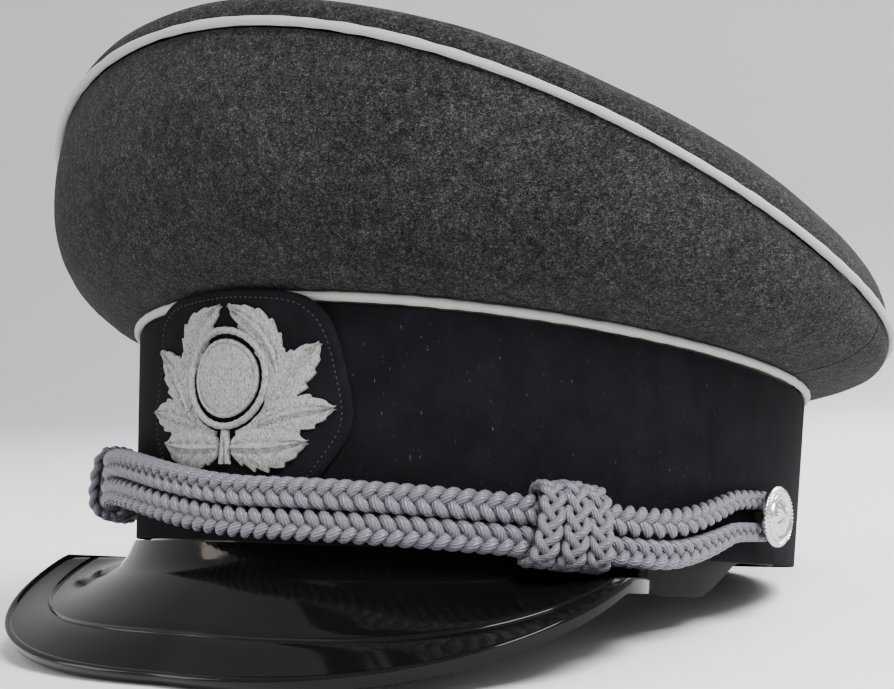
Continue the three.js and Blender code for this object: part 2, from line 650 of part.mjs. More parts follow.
function strand(level) {
  const line = [...strandHalf(level, -1).slice(1).reverse(), ...strandHalf(level, 1)];
  const leanFree = (s) => wall(s.angle, BAND_OUT + s.offset, 0).setZ(s.z);
  const centres = line.map(leanFree);
  return loft(
    line.map((s, i) => {
      const [before, after] = [centres[Math.max(i - 1, 0)], centres[Math.min(i + 1, line.length - 1)]];
      const tangent = after.clone().sub(before).normalize();
      const across = wallNormal(s.angle);
      const height = across.clone().cross(tangent).normalize();
      const depth = lerp(CORD_HALF_DEPTH, CORD_END_HALF_DEPTH, s.share);
      const tall = lerp(CORD_HALF_HEIGHT, CORD_END_HALF_HEIGHT, s.share);
      return ovalSection(centres[i], across, height, depth, tall, 8);
    }),
  );
}
piece("chin_cord_upper", strand(1), cordSilver);
piece("chin_cord_lower", strand(-1), cordSilver);

// ---------- chin cord slides ----------
// A slide turns about the cord's own centre of curvature, which is how it runs along the cord.
const SLIDE_RADIUS = (() => {
  const [w, l] = [HEAD_HALF_WIDTH + CORD_OFFSET, HEAD_HALF_LENGTH + CORD_OFFSET];
  return Math.hypot(w * cosine(SLIDE_ANGLE), l * sine(SLIDE_ANGLE)) ** 3 / (w * l);
})();

function slide(side) {
  const angle = side * SLIDE_ANGLE;
  const centre = wall(angle, CORD_OFFSET, 0).setZ(cordPlane(angle));
  const [w, l] = [HEAD_HALF_WIDTH + CORD_OFFSET, HEAD_HALF_LENGTH + CORD_OFFSET];
  const out = point(l * sine(angle), -w * cosine(angle), 0);
  const axis = point(0, CORD_SLOPE, 1).normalize();
  out.addScaledVector(axis, -out.dot(axis)).normalize();
  const pivot = centre.clone().addScaledVector(out, -SLIDE_RADIUS);
  const swept = (halfAngle, count, sizes, sides) =>
    loft(
      stations(-halfAngle, halfAngle, count).map((turn) => {
        const arm = centre.clone().sub(pivot).applyAxisAngle(axis, degToRad(turn));
        const [depth, tall] = sizes(turn / halfAngle);
        return ovalSection(pivot.clone().add(arm), arm.clone().normalize(), axis, depth, tall, sides);
      }),
    );
  const half = radToDeg(SLIDE_HALF_LENGTH / SLIDE_RADIUS);
  const innerDepth = CORD_HALF_DEPTH + SLIDE_CLEARANCE;
  const innerTall = STRAND_SPACING + CORD_HALF_HEIGHT + SLIDE_CLEARANCE;
  const barrel = (share) => {
    const bulge = Math.sqrt(1 - 0.2 * share * share);
    return [(innerDepth + SLIDE_WALL) * lerp(0.9, 1, bulge), (innerTall + SLIDE_WALL) * bulge];
  };
  // The tunnel is squarish, so its corners clear both strands.
  const tunnel = swept(2 * half, 4, () => [innerDepth * 1.2, innerTall * 1.08], 12);
  return cut(swept(half, 6, (share) => barrel(share), 14), tunnel);
}
piece("chin_slide_left", slide(1), cordSilver);
piece("chin_slide_right", slide(-1), cordSilver);

// ---------- badge ----------
// A point on the front of the band from its distance along the band and its height.
function onFront(along, z, stand) {
  const radius = (HEAD_HALF_WIDTH + BAND_OUT) ** 2 / (HEAD_HALF_LENGTH + BAND_OUT);
  const nearly = radToDeg(along / (HEAD_HALF_WIDTH + BAND_OUT));
  const angle = nearly * (1 + (along * along) / (24 * radius * radius));
  const overPiping = (PIPING_RADIUS + 0.7) * smoothstep(z, bandTop(0) - 16, bandTop(0) - 3);
  return wall(angle, BAND_OUT + GAP + overPiping + stand, z);
}

function badgeHalfWidth(z) {
  const below = (z - BADGE_BOTTOM) / (BADGE_WAIST_HEIGHT - BADGE_BOTTOM);
  const above = (z - BADGE_WAIST_HEIGHT) / (BADGE_TOP - BADGE_WAIST_HEIGHT);
  return below < 1
    ? lerp(BADGE_FOOT_HALF_WIDTH, BADGE_WAIST_HALF_WIDTH, below)
    : lerp(BADGE_WAIST_HALF_WIDTH, BADGE_HEAD_HALF_WIDTH, above ** 2.2);
}

const badgeFace = (stand) => (u, v) => {
  const z = lerp(BADGE_BOTTOM, BADGE_TOP, v);
  return onFront(lerp(-1, 1, u) * badgeHalfWidth(z), z, stand);
};
piece("badge_backing", slab(10, 11, badgeFace(BADGE_THICK), badgeFace(0)), blackFelt);

// A point of the badge from its angle and distance about the roundel's centre.
function onBadge(angle, distance, stand) {
  const [along, up] = [distance * sine(angle), -distance * cosine(angle)];
  return onFront(along, WREATH_CENTRE + up, BADGE_THICK + BADGE_OVERLAY_GAP + stand);
}

// One spray of leaves, side +1 or -1, as a crescent that narrows from its foot to its tip.
function spray(side) {
  const inner = ROUNDEL_RADIUS + 0.8;
  const face = (stand) => (u, v) => {
    const outer = lerp(24, 17.5, v) + 8 * Math.sin(Math.PI * v ** 0.8) ** 2;
    return onBadge(side * lerp(5, 168, v), lerp(inner, outer, u), stand);
  };
  return slab(3, 10, face(WREATH_THICK), face(0));
}
piece("wreath_left", spray(1), whiteThread);
piece("wreath_right", spray(-1), whiteThread);

const roundelRing = loft(
  roundStations(28).map((a) => [
    onBadge(a, ROUNDEL_RADIUS, 0),
    onBadge(a, ROUNDEL_RADIUS, ROUNDEL_THICK),
    onBadge(a, ROUNDEL_RADIUS - ROUNDEL_RING_WIDTH, ROUNDEL_THICK),
    onBadge(a, ROUNDEL_RADIUS - ROUNDEL_RING_WIDTH, 0),
  ]),
  true,
);
piece("roundel_ring", roundelRing, whiteThread);
const bossRadius = ROUNDEL_RADIUS - ROUNDEL_RING_WIDTH - 0.5;
const boss = disc(
  24,
  2,
  (a, share) => onBadge(a, bossRadius * share, ROUNDEL_THICK * (1.3 - 0.5 * share * share)),
  (a, share) => onBadge(a, bossRadius * share, 0),
);
piece("roundel_boss", boss, whiteThread);

// ---------- stand the cap on its visor's tip and its rear edge ----------
function lowestOf(name, towards) {
  const positions = cap.getObjectByName(name).geometry.getAttribute("position");
  let best = null;
  for (let i = 0; i < positions.count; i++) {
    const p = new THREE.Vector3().fromBufferAttribute(positions, i);
    if (!best || p.dot(towards) > best.dot(towards)) best = p;
  }
  return best;
}
let tilt = Math.atan2(VISOR_DROP, 2 * HEAD_HALF_LENGTH);
for (let pass = 0; pass < 4; pass++) {
  const down = point(0, Math.sin(tilt), -Math.cos(tilt));
  const tip = lowestOf("visor", down);
  const heel = lowestOf("cap_band", down);
  tilt = Math.atan2(heel.z - tip.z, heel.y - tip.y);
}
cap.rotation.x = -tilt;
cap.updateMatrixWorld(true);
const box = new THREE.Box3().setFromObject(cap, true);
cap.position.set(0, -(box.min.y + box.max.y) / 2, -box.min.z);

const part = new THREE.Group();
part.add(cap);
export default part;
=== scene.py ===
"""The looks of the peaked cap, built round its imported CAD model.

Shapes are worked out in the cap's own level frame, in millimetres: z = 0 is the lower edge of the band, the
front of the cap faces -Y and the wearer's left is +X. HEAD turns that frame into the row's frame, in metres.
"""
import json
import math

import bmesh
import bpy
import numpy as np
from mathutils import Matrix, Vector, noise


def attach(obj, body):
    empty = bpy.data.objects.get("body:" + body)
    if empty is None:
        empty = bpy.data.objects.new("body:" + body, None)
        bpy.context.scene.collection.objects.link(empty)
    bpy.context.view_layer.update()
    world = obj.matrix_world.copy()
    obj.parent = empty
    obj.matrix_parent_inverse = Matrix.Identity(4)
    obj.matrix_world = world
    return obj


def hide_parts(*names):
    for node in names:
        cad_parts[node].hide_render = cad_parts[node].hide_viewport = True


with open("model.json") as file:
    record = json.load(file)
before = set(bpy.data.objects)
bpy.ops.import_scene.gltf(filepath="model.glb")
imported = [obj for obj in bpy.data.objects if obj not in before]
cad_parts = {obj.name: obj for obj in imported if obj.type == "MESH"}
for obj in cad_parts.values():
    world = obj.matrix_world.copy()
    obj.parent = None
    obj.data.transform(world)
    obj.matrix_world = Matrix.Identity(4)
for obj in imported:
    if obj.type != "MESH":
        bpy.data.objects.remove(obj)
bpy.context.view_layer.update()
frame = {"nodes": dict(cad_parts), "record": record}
record = frame["record"]

# ---------- the level frame, from the head opening's mount ----------
opening = next(m for m in record["mounts"] if m["name"] == "head_opening")
TILT = math.atan2(-opening["axis"][1], -opening["axis"][2])
HEAD = Matrix.Translation(opening["pos_m"]) @ Matrix.Rotation(-TILT, 4, "X") @ Matrix.Scale(0.001, 4)

# ---------- sizes shared with the CAD, in mm ----------
HEAD_HALF_WIDTH, HEAD_HALF_LENGTH = 82.8, 97.8
GAP = 0.3
SWEATBAND_THICK, SWEATBAND_HEIGHT = 1.2, 38
TEMPLE_FLAP, TEMPLE = 9.5, (60, 72, 80, 93)
FLANGE_IN, FLANGE_OUT, FLANGE_HEIGHT = 1.8, 3.2, 10
BAND_IN, BAND_OUT = 5.8, 7.2
BAND_FLARE = math.tan(math.radians(2.5))
BAND_FRONT_HEIGHT, BAND_SIDE_HEIGHT, BAND_REAR_HEIGHT = 59.5, 52, 49
CROWN_HALF_WIDTH, CROWN_FRONT_REACH, CROWN_REAR_REACH = 117.3, 128.5, 115.5
CROWN_SQUARENESS = 2.1
RIM_FRONT_HEIGHT, RIM_REAR_HEIGHT, RIM_SLOPE_POWER = 122.3, 60.9, 2.26
CROWN_THICK, CROWN_CENTRE_HEIGHT = 1.8, 88
PUFF_FRONT, PUFF_REAR, PUFF_SHARPNESS = 14, 24.5, 11
PANEL_BEND_UP = 0.25
PIPING_RADIUS = 1.15
CROWN_START = PIPING_RADIUS + GAP
SIDE_SEAM = 100
VISOR_THICK, VISOR_HALF_ANGLE, VISOR_FRONT_REACH, VISOR_SHOULDER = 1.8, 62.5, 22.3, 11
VISOR_DROP, VISOR_DROP_END, VISOR_END_DROP, VISOR_ROOT_DROP = 27.9, 52.7, 1, 4.5
CORD_HALF_HEIGHT, CORD_HALF_DEPTH = 3.6, 3.2
CORD_END_HALF_HEIGHT, CORD_END_HALF_DEPTH = 2.4, 2.0
CORD_STAND_OFF, CORD_FRONT_HEIGHT, CORD_SLOPE, CORD_RIGHT_LIFT = 7.6, 8, 0.06, 9
CORD_FLAT_END, LOOP_START = 66, 86
SHANK_RADIUS = 1.5
BUTTON_HEIGHT = 12.5
SLIDE_ANGLE, SLIDE_HALF_LENGTH = 50.5, 9
BADGE_THICK, BADGE_OVERLAY_GAP = 1.5, 0.5
WREATH_CENTRE, ROUNDEL_RADIUS = 39, 10.6
LINING_THICK, LINING_START, LINING_OVER_BAND, LINING_DEPTH, LINING_END, LINING_DROP = 0.7, 22, 3.5, 6.5, 0.65, 13
SHIELD_SHARE, SHIELD_THICK = 0.55, 0.5

CORD_OFFSET = BAND_OUT + CORD_STAND_OFF
STRAND_SPACING = CORD_HALF_HEIGHT + GAP / 2
LOOP_RADIUS = SHANK_RADIUS + GAP + CORD_END_HALF_HEIGHT
LOOP_OFFSET = GAP + 0.4 + CORD_END_HALF_DEPTH


# ---------- small helpers ----------
def sine(angle):
    return math.sin(math.radians(angle))


def cosine(angle):
    return math.cos(math.radians(angle))


def lerp(a, b, t):
    return a + (b - a) * t


def smoothstep(x, low, high):
    t = min(1, max(0, (x - low) / (high - low)))
    return t * t * (3 - 2 * t)


def unit(v):
    return v / np.linalg.norm(v)


def point(x, y, z):
    return np.array([x, y, z], dtype=float)


def finish_object(name, mesh, material, body="cap", replaces=(), sharp=40):
    """A mesh in the level frame becomes a piece that rides on a body."""
    mesh.transform(HEAD)
    mesh.shade_smooth()
    mesh.set_sharp_from_angle(angle=math.radians(sharp))
    mesh.materials.append(material)
    piece = bpy.data.objects.new(name, mesh)
    bpy.context.scene.collection.objects.link(piece)
    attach(piece, body)
    if replaces:
        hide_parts(*replaces)
    return piece


def lofted(name, sections, ring=False, uv_scale=None):
    """Joins closed sections (equal loops of points) into one mesh, capped at its ends unless it is a ring."""
    loops = np.array(sections, dtype=float)
    count, size = loops.shape[:2]
    quads, uvs = [], []
    for i in range(count if ring else count - 1):
        for j in range(size):
            a, b = i, (i + 1) % count
            k = (j + 1) % size
            quads.append((a * size + j, b * size + j, b * size + k, a * size + k))
            uvs += [(i, j), (i + 1, j), (i + 1, j + 1), (i, j + 1)]
    if not ring:
        quads.append(tuple(range(size)))
        quads.append(tuple(reversed(range((count - 1) * size, count * size))))
        uvs += [(0, 0)] * (2 * size)
    mesh = bpy.data.meshes.new(name)
    mesh.from_pydata([tuple(p) for p in loops.reshape(-1, 3)], [], quads)
    if uv_scale:
        layer = mesh.uv_layers.new(name="UVMap")
        flat = np.array(uvs, dtype=float) * np.array([uv_scale[0] / count, uv_scale[1] / size])
        layer.data.foreach_set("uv", flat.astype(np.float32).ravel())
    outward(mesh)
    return mesh


def outward(mesh):
    """Turns every face outwards."""
    build = bmesh.new()
    build.from_mesh(mesh)
    bmesh.ops.recalc_face_normals(build, faces=build.faces)
    build.to_mesh(mesh)
    build.free()


def disc_mesh(name, spokes, shares, top, bottom):
    """A round sheet with thickness: top and bottom take an angle and a share of the radius."""
    verts, faces = [], []

    def put(p):
        verts.append(tuple(p))
        return len(verts) - 1

    sides = []
    for face in (top, bottom):
        centre = put(face(0, 0))
        sides.append((centre, [[put(face(i * 360 / spokes, s)) for i in range(spokes)] for s in shares]))
    for centre, loops in sides:
        for i in range(spokes):
            k = (i + 1) % spokes
            faces.append((centre, loops[0][i], loops[0][k]))
            faces += [(a[i], b[i], b[k], a[k]) for a, b in zip(loops, loops[1:])]
    over, under = (loops[-1] for _, loops in sides)
    faces += [(over[i], under[i], under[(i + 1) % spokes], over[(i + 1) % spokes]) for i in range(spokes)]
    mesh = bpy.data.meshes.new(name)
    mesh.from_pydata(verts, [], faces)
    outward(mesh)
    return mesh


def tube_sections(centres, across, heights, half_across, half_height, sides):
    """Oval sections along a line, with the directions and half sizes given at each of its points."""
    turns = (np.arange(sides) + 0.5) / sides * 2 * np.pi
    sections = []
    for i, centre in enumerate(centres):
        a = half_across[i] * np.cos(turns)[:, None] * across[i]
        b = half_height[i] * np.sin(turns)[:, None] * heights[i]
        sections.append(centre + a + b)
    return sections


def resampled(points, step):
    """Points at even spacing on a smooth curve through the given ones."""
    points = np.array(points)
    dense = []
    padded = np.vstack([2 * points[0] - points[1], points, 2 * points[-1] - points[-2]])
    for p0, p1, p2, p3 in zip(padded, padded[1:], padded[2:], padded[3:]):
        for t in np.linspace(0, 1, 12, endpoint=False):
            dense.append(
                0.5
                * (
                    2 * p1
                    + (p2 - p0) * t
                    + (2 * p0 - 5 * p1 + 4 * p2 - p3) * t**2
                    + (3 * p1 - p0 - 3 * p2 + p3) * t**3
                )
            )
    dense = np.array(dense + [points[-1]])
    lengths = np.concatenate([[0], np.cumsum(np.linalg.norm(np.diff(dense[:, :3], axis=0), axis=1))])
    places = np.linspace(0, lengths[-1], int(lengths[-1] / step) + 1)
    return np.stack([np.interp(places, lengths, column) for column in dense.T], axis=1), places


# ---------- the cap's curves; angles are degrees from the front towards the wearer's left ----------
def wall(angle, layer, z):
    out = layer + z * BAND_FLARE
    return point((HEAD_HALF_WIDTH + out) * sine(angle), -(HEAD_HALF_LENGTH + out) * cosine(angle), z)


def polar_wall(angle, layer, z):
    w, l = HEAD_HALF_WIDTH + layer, HEAD_HALF_LENGTH + layer
    reach = 1 / math.hypot(sine(angle) / w, cosine(angle) / l)
    return point(reach * sine(angle), -reach * cosine(angle), z)


def wall_normal(angle):
    return unit(
        point((HEAD_HALF_LENGTH + BAND_OUT) * sine(angle), -(HEAD_HALF_WIDTH + BAND_OUT) * cosine(angle), 0)
    )


def band_top(angle):
    mean = (BAND_FRONT_HEIGHT + BAND_REAR_HEIGHT + 2 * BAND_SIDE_HEIGHT) / 4
    ends = (BAND_FRONT_HEIGHT + BAND_REAR_HEIGHT) / 2
    return mean + (BAND_FRONT_HEIGHT - BAND_REAR_HEIGHT) / 2 * cosine(angle) + (ends - mean) * cosine(2 * angle)


def flap_bottom(angle):
    turned = abs((angle + 540) % 360 - 180)
    return -TEMPLE_FLAP * smoothstep(turned, *TEMPLE[:2]) * (1 - smoothstep(turned, *TEMPLE[2:]))


def rim_height(angle):
    return RIM_REAR_HEIGHT + (RIM_FRONT_HEIGHT - RIM_REAR_HEIGHT) * ((1 + cosine(angle)) / 2) ** RIM_SLOPE_POWER


def rim(angle, inset=0.0, above=0.0):
    s, c, n = sine(angle), cosine(angle), CROWN_SQUARENESS
    even = (abs(s) ** n + abs(c) ** n) ** (-1 / n)
    reach = (CROWN_FRONT_REACH if c > 0 else CROWN_REAR_REACH) - inset
    return point((CROWN_HALF_WIDTH - inset) * s * even, -reach * c * even, rim_height(angle) + above)


def crown_side(angle, t, depth=0.0):
    """On the side of the crown: t runs from the band (0) to the rim (1), depth is measured inwards."""
    foot = wall(angle, BAND_OUT, band_top(angle) + CROWN_START)
    head = rim(angle, GAP, -CROWN_START)
    bend = 1 + 0.4 * ((1 + cosine(angle)) / 2) ** 2
    out, up = 2 * t * (1 - t) * bend + t * t, 2 * t * (1 - t) * PANEL_BEND_UP + t * t
    level = point(head[0] - foot[0], head[1] - foot[1], 0)
    reach, rise = np.linalg.norm(level), head[2] - foot[2]
    slope_out = reach * (2 * (1 - 2 * t) * bend + 2 * t)
    slope_up = rise * (2 * (1 - 2 * t) * PANEL_BEND_UP + 2 * t)
    length = math.hypot(slope_out, slope_up)
    place = point(lerp(foot[0], head[0], out), lerp(foot[1], head[1], out), foot[2] + rise * up)
    return place - unit(level) * depth * slope_up / length + point(0, 0, depth * slope_out / length)


def spread(angle, share):
    return lerp(CROWN_CENTRE_HEIGHT, rim_height(angle), share**1.5)


def puff(angle, share):
    full = lerp((PUFF_FRONT + PUFF_REAR) / 2, lerp(PUFF_REAR, PUFF_FRONT, (1 + cosine(angle)) / 2), share)
    return full * math.sqrt(1 - min(1, share) ** PUFF_SHARPNESS)


def crown_top(angle, share, depth=0.0):
    edge = rim(angle, GAP + depth)
    z = spread(angle, share) + CROWN_START + puff(angle, share) - (depth if share < 1 else 0)
    return point(edge[0] * share, edge[1] * share, z)


def ripple(p, size, height):
    """A gentle unevenness, the same each run."""
    return height * noise.noise(Vector(p / size))


# ---------- materials ----------
class Nodes:
    """A material under construction: its node tree, with short calls for the nodes it uses."""

    def __init__(self, name, roughness, metallic=0.0):
        self.material = bpy.data.materials.new(name)
        self.material.use_nodes = True
        self.tree = self.material.node_tree
        self.shader = self.tree.nodes["Principled BSDF"]
        self.shader.inputs["Roughness"].default_value = roughness
        self.shader.inputs["Metallic"].default_value = metallic
        self.height = None

    def link(self, output, node, socket):
        self.tree.links.new(output, node.inputs[socket])

    def add(self, kind, **settings):
        node = self.tree.nodes.new(kind)
        for key, value in settings.items():
            if hasattr(node, key):
                setattr(node, key, value)
            else:
                node.inputs[key].default_value = value
        return node

    def place(self, stretch=(1, 1, 1), source="Object"):
        """Coordinates in mm, stretched."""
        coordinates = self.add("ShaderNodeTexCoord")
        mapping = self.add("ShaderNodeMapping")
        scale = 1000 if source == "Object" else 1
        mapping.inputs["Scale"].default_value = [scale * s for s in stretch]
        self.link(coordinates.outputs[source], mapping, "Vector")
        return mapping.outputs["Vector"]

    def noise(self, size, detail=3.0, rough=0.55, stretch=(1, 1, 1), source="Object", distortion=0.0):
        """Noise whose grain is about size mm."""
        node = self.add("ShaderNodeTexNoise", Detail=detail, Roughness=rough, Distortion=distortion, Scale=1 / size)
        self.link(self.place(stretch, source), node, "Vector")
        return node.outputs["Fac"]

    def ramp(self, value, *stops):
        node = self.add("ShaderNodeValToRGB")
        for index, (position, colour) in enumerate(stops):
            element = node.color_ramp.elements[index] if index < 2 else node.color_ramp.elements.new(position)
            element.position = position
            element.color = (*colour, 1) if isinstance(colour, tuple) else (colour, colour, colour, 1)
        self.link(value, node, "Fac")
        return node.outputs["Color"]

    def mix(self, factor, a, b, blend="MIX"):
        node = self.add("ShaderNodeMix", data_type="RGBA", blend_type=blend)
        for socket, value in (("Factor", factor), ("A", a), ("B", b)):
            index = {"Factor": 0, "A": 6, "B": 7}[socket]
            if isinstance(value, bpy.types.NodeSocket):
                self.tree.links.new(value, node.inputs[index])
            elif socket == "Factor":
                node.inputs[0].default_value = value
            else:
                node.inputs[index].default_value = (
                    (*value, 1) if isinstance(value, tuple) else (value, value, value, 1)
                )
        return node.outputs[2]

    def math(self, operation, a, b=0.0):
        node = self.add("ShaderNodeMath", operation=operation)
        for index, value in enumerate((a, b)):
            if isinstance(value, bpy.types.NodeSocket):
                self.tree.links.new(value, node.inputs[index])
            else:
                node.inputs[index].default_value = value
        return node.outputs[0]

    def colour(self, value):
        if isinstance(value, bpy.types.NodeSocket):
            self.link(value, self.shader, "Base Color")
        else:
            self.shader.inputs["Base Color"].default_value = (*value, 1)

    def bump(self, height, depth_mm, strength=1.0):
        node = self.add("ShaderNodeBump", Strength=strength, Distance=depth_mm / 1000)
        self.link(height, node, "Height")
        if self.height:
            self.link(self.height, node, "Normal")
        self.height = node.outputs["Normal"]
        self.link(self.height, self.shader, "Normal")

    def sheen(self, weight, roughness=0.5, tint=(1, 1, 1)):
        self.shader.inputs["Sheen Weight"].default_value = weight
        self.shader.inputs["Sheen Roughness"].default_value = roughness
        self.shader.inputs["Sheen Tint"].default_value = (*tint, 1)


def grey_wool():
    """Felted wool: dark and light fibres mixed, matted in soft clumps."""
    n = Nodes("grey_wool", 0.95)
    fibres = n.noise(0.55, detail=4, rough=0.8, distortion=1.4)
    streaks = n.noise(0.9, detail=4, rough=0.75, stretch=(1, 0.4, 1.7), distortion=2.2)
    clumps = n.noise(2.8, detail=4, rough=0.7, distortion=0.8)
    cloudy = n.noise(28, detail=2)
    grain = n.math("ADD", n.math("MULTIPLY", fibres, 0.5), n.math("MULTIPLY", streaks, 0.5))
    base = n.ramp(
        grain, (0.38, (0.0022, 0.0022, 0.0024)), (0.62, (0.098, 0.098, 0.100)), (0.5, (0.0135, 0.0136, 0.0140))
    )
    shade = n.ramp(clumps, (0.32, 0.45), (0.68, 1.35))
    tone = n.ramp(cloudy, (0.3, 0.85), (0.7, 1.1))
    n.colour(n.mix(1.0, n.mix(1.0, base, shade, "MULTIPLY"), tone, "MULTIPLY"))
    n.bump(clumps, 0.5, 0.6)
    n.bump(grain, 0.35, 0.8)
    n.sheen(0.04, 0.45, (0.85, 0.87, 0.92))
    n.shader.inputs["Specular IOR Level"].default_value = 0.06
    return n.material


def black_felt(name="black_felt", lint=True, level=1.0):
    """Close black cloth with a fine rib and specks of pale lint."""
    n = Nodes(name, 0.9)
    fine = n.noise(0.25, detail=3, rough=0.7)
    drift = n.noise(9, detail=3)
    base = n.mix(
        fine, (0.0035 * level, 0.0038 * level, 0.0048 * level), (0.017 * level, 0.018 * level, 0.022 * level)
    )
    base = n.mix(1.0, base, n.ramp(drift, (0.3, 0.7), (0.7, 1.2)), "MULTIPLY")
    if lint:
        specks = n.ramp(n.noise(0.6, detail=2, rough=0.6, stretch=(1, 1, 0.4)), (0.70, 0.0), (0.76, 1.0))
        base = n.mix(specks, base, (0.05, 0.052, 0.058))
    n.colour(base)
    n.bump(n.noise(0.6, detail=3, rough=0.6, stretch=(1.6, 1.6, 0.5)), 0.22, 0.6)
    n.bump(fine, 0.15, 0.6)
    n.shader.inputs["Specular IOR Level"].default_value = 0.06
    return n.material


def piping_cloth():
    n = Nodes("white_piping", 0.75)
    fine = n.noise(0.5, detail=3, stretch=(1, 1, 2.2))
    n.colour(
        n.mix(n.noise(14, detail=2), n.mix(fine, (0.27, 0.268, 0.26), (0.42, 0.415, 0.405)), (0.34, 0.34, 0.33))
    )
    n.bump(fine, 0.16, 0.7)
    n.sheen(0.2)
    return n.material


def visor_lacquer():
    """Polished black vinyl, a little wavy, with fine rubs."""
    n = Nodes("visor_lacquer", 0.11)
    n.colour(n.mix(n.noise(22, detail=2), (0.002, 0.002, 0.002), (0.0045, 0.0042, 0.0036)))
    rubs = n.ramp(n.noise(1.1, detail=5, rough=0.7, stretch=(0.35, 1.5, 1)), (0.50, 0.07), (0.78, 0.26))
    n.link(rubs, n.shader, "Roughness")
    n.bump(n.noise(16, detail=1), 0.12, 0.5)
    n.bump(n.noise(0.5, detail=2), 0.004, 0.5)
    n.shader.inputs["IOR"].default_value = 1.28
    return n.material


def cord_rayon(name="cord_rayon", light=1.0):
    """Shiny twisted rayon; the twist runs round each yarn, whose UVs are in mm. Its dark bands are painted shade in the
    twist's grooves.
    """
    n = Nodes(name, 0.36)
    coordinates = n.place((1, 1, 1), "UV")
    twist = n.add("ShaderNodeTexWave", wave_type="BANDS", bands_direction="DIAGONAL")
    twist.inputs["Scale"].default_value = 0.62
    twist.inputs["Distortion"].default_value = 0.8
    twist.inputs["Detail"].default_value = 1.0
    n.link(coordinates, twist, "Vector")
    threads = twist.outputs["Fac"]
    # dark bands of the twist: painted shade in its grooves; the light bands are the yarn's own colour
    base = n.mix(
        threads, (0.13 * light, 0.128 * light, 0.155 * light), (0.42 * light, 0.415 * light, 0.49 * light)
    )
    n.colour(n.mix(n.noise(6, detail=2), base, (0.24 * light, 0.237 * light, 0.275 * light)))
    n.bump(threads, 0.16, 0.8)
    n.bump(n.noise(0.18, detail=2), 0.05, 0.5)
    n.sheen(0.05, 0.4, (0.9, 0.9, 1.0))
    return n.material


def white_embroidery():
    """Satin stitch: short shiny threads laid side by side."""
    n = Nodes("white_embroidery", 0.5)
    threads = n.noise(0.42, detail=3, rough=0.7, stretch=(1.5, 1, 0.6), distortion=0.9)
    n.colour(
        n.ramp(threads, (0.36, (0.055, 0.054, 0.053)), (0.60, (0.40, 0.39, 0.375)), (0.47, (0.22, 0.216, 0.21)))
    )
    n.bump(threads, 0.35, 1.0)
    n.sheen(0.1)
    return n.material


def pearl_metal():
    n = Nodes("silver_button", 0.24, 1.0)
    n.colour(n.mix(n.noise(2.5, detail=3), (0.50, 0.50, 0.49), (0.78, 0.78, 0.76)))
    n.bump(n.noise(0.4, detail=3), 0.03, 0.6)
    return n.material


def leather():
    n = Nodes("sweatband_leather", 0.6)
    pores = n.noise(0.8, detail=3, rough=0.6)
    n.colour(
        n.mix(
            n.noise(12, detail=3),
            n.mix(pores, (0.002, 0.002, 0.002), (0.006, 0.006, 0.006)),
            (0.005, 0.005, 0.005),
        )
    )
    n.bump(pores, 0.1, 0.6)
    n.shader.inputs["Specular IOR Level"].default_value = 0.15
    return n.material


def satin(name, dark, light):
    n = Nodes(name, 0.38)
    weave = n.noise(0.35, detail=2, stretch=(3, 1, 1))
    n.colour(n.mix(n.noise(18, detail=2), n.mix(weave, dark, light), light))
    n.bump(weave, 0.06, 0.5)
    n.sheen(0.25)
    return n.material


def plain(name, dark, light, roughness, metallic=0.0, grain=0.6, depth=0.08):
    """A simple finish for pieces inside the cap: two tones and a grain."""
    n = Nodes(name, roughness, metallic)
    texture = n.noise(grain, detail=3)
    n.colour(n.mix(texture, dark, light))
    n.bump(texture, depth, 0.6)
    return n.material


def clear_film():
    n = Nodes("clear_film", 0.12)
    n.colour(n.mix(n.noise(15), (0.75, 0.72, 0.6), (0.85, 0.83, 0.74)))
    n.shader.inputs["Alpha"].default_value = 0.35
    n.bump(n.noise(20, detail=1), 0.4, 0.5)
    return n.material


# ---------- crown ----------
def crown_panel(name, start, end, count):
    seam = math.degrees(GAP / CROWN_HALF_WIDTH)
    rows = np.linspace(0, 1, 22)

    def outer(angle, t):
        p = crown_side(angle, t)
        away = unit(p - crown_side(angle, t, 1))
        full = math.sin(math.pi * min(1, max(0, t)))
        return p + away * (ripple(p, 34, 0.9) + ripple(p, 11, 0.25) - 0.2) * full

    sections = []
    for angle in np.linspace(start + seam, end - seam, count + 1):
        outside = [outer(angle, t) for t in rows]
        inside = [crown_side(angle, t, CROWN_THICK) for t in rows[::-2]]
        sections.append(outside + inside)
    return finish_object(name, lofted(name, sections), wool, replaces=[name.replace("_cloth", "")])


def crown_top_cloth():
    shares = 1 - (1 - np.linspace(0, 1, 27)[1:]) ** 1.9

    def top(angle, share):
        p = crown_top(angle, share)
        soft = math.sqrt(max(0, 1 - share**6))
        return p + point(0, 0, (ripple(p, 42, 1.6) + ripple(p, 13, 0.4) - 0.9) * soft)

    mesh = disc_mesh("crown_top_cloth", 144, shares, top, lambda a, s: crown_top(a, s, CROWN_THICK))
    return finish_object("crown_top_cloth", mesh, wool, replaces=["crown_top_panel"])


def piping(name, centre, node):
    """A cord in cloth, pinched a little by its stitches."""
    sections = []
    for angle in np.linspace(0, 360, 360, endpoint=False):
        p = centre(angle)
        radius = PIPING_RADIUS * (1 + 0.05 * math.sin(math.radians(angle * 90)) + ripple(p, 6, 0.12))
        sections += tube_sections([p], [wall_normal(angle)], [point(0, 0, 1)], [radius], [radius], 12)
    return finish_object(name, lofted(name, sections, ring=True), piping_white, replaces=[node])


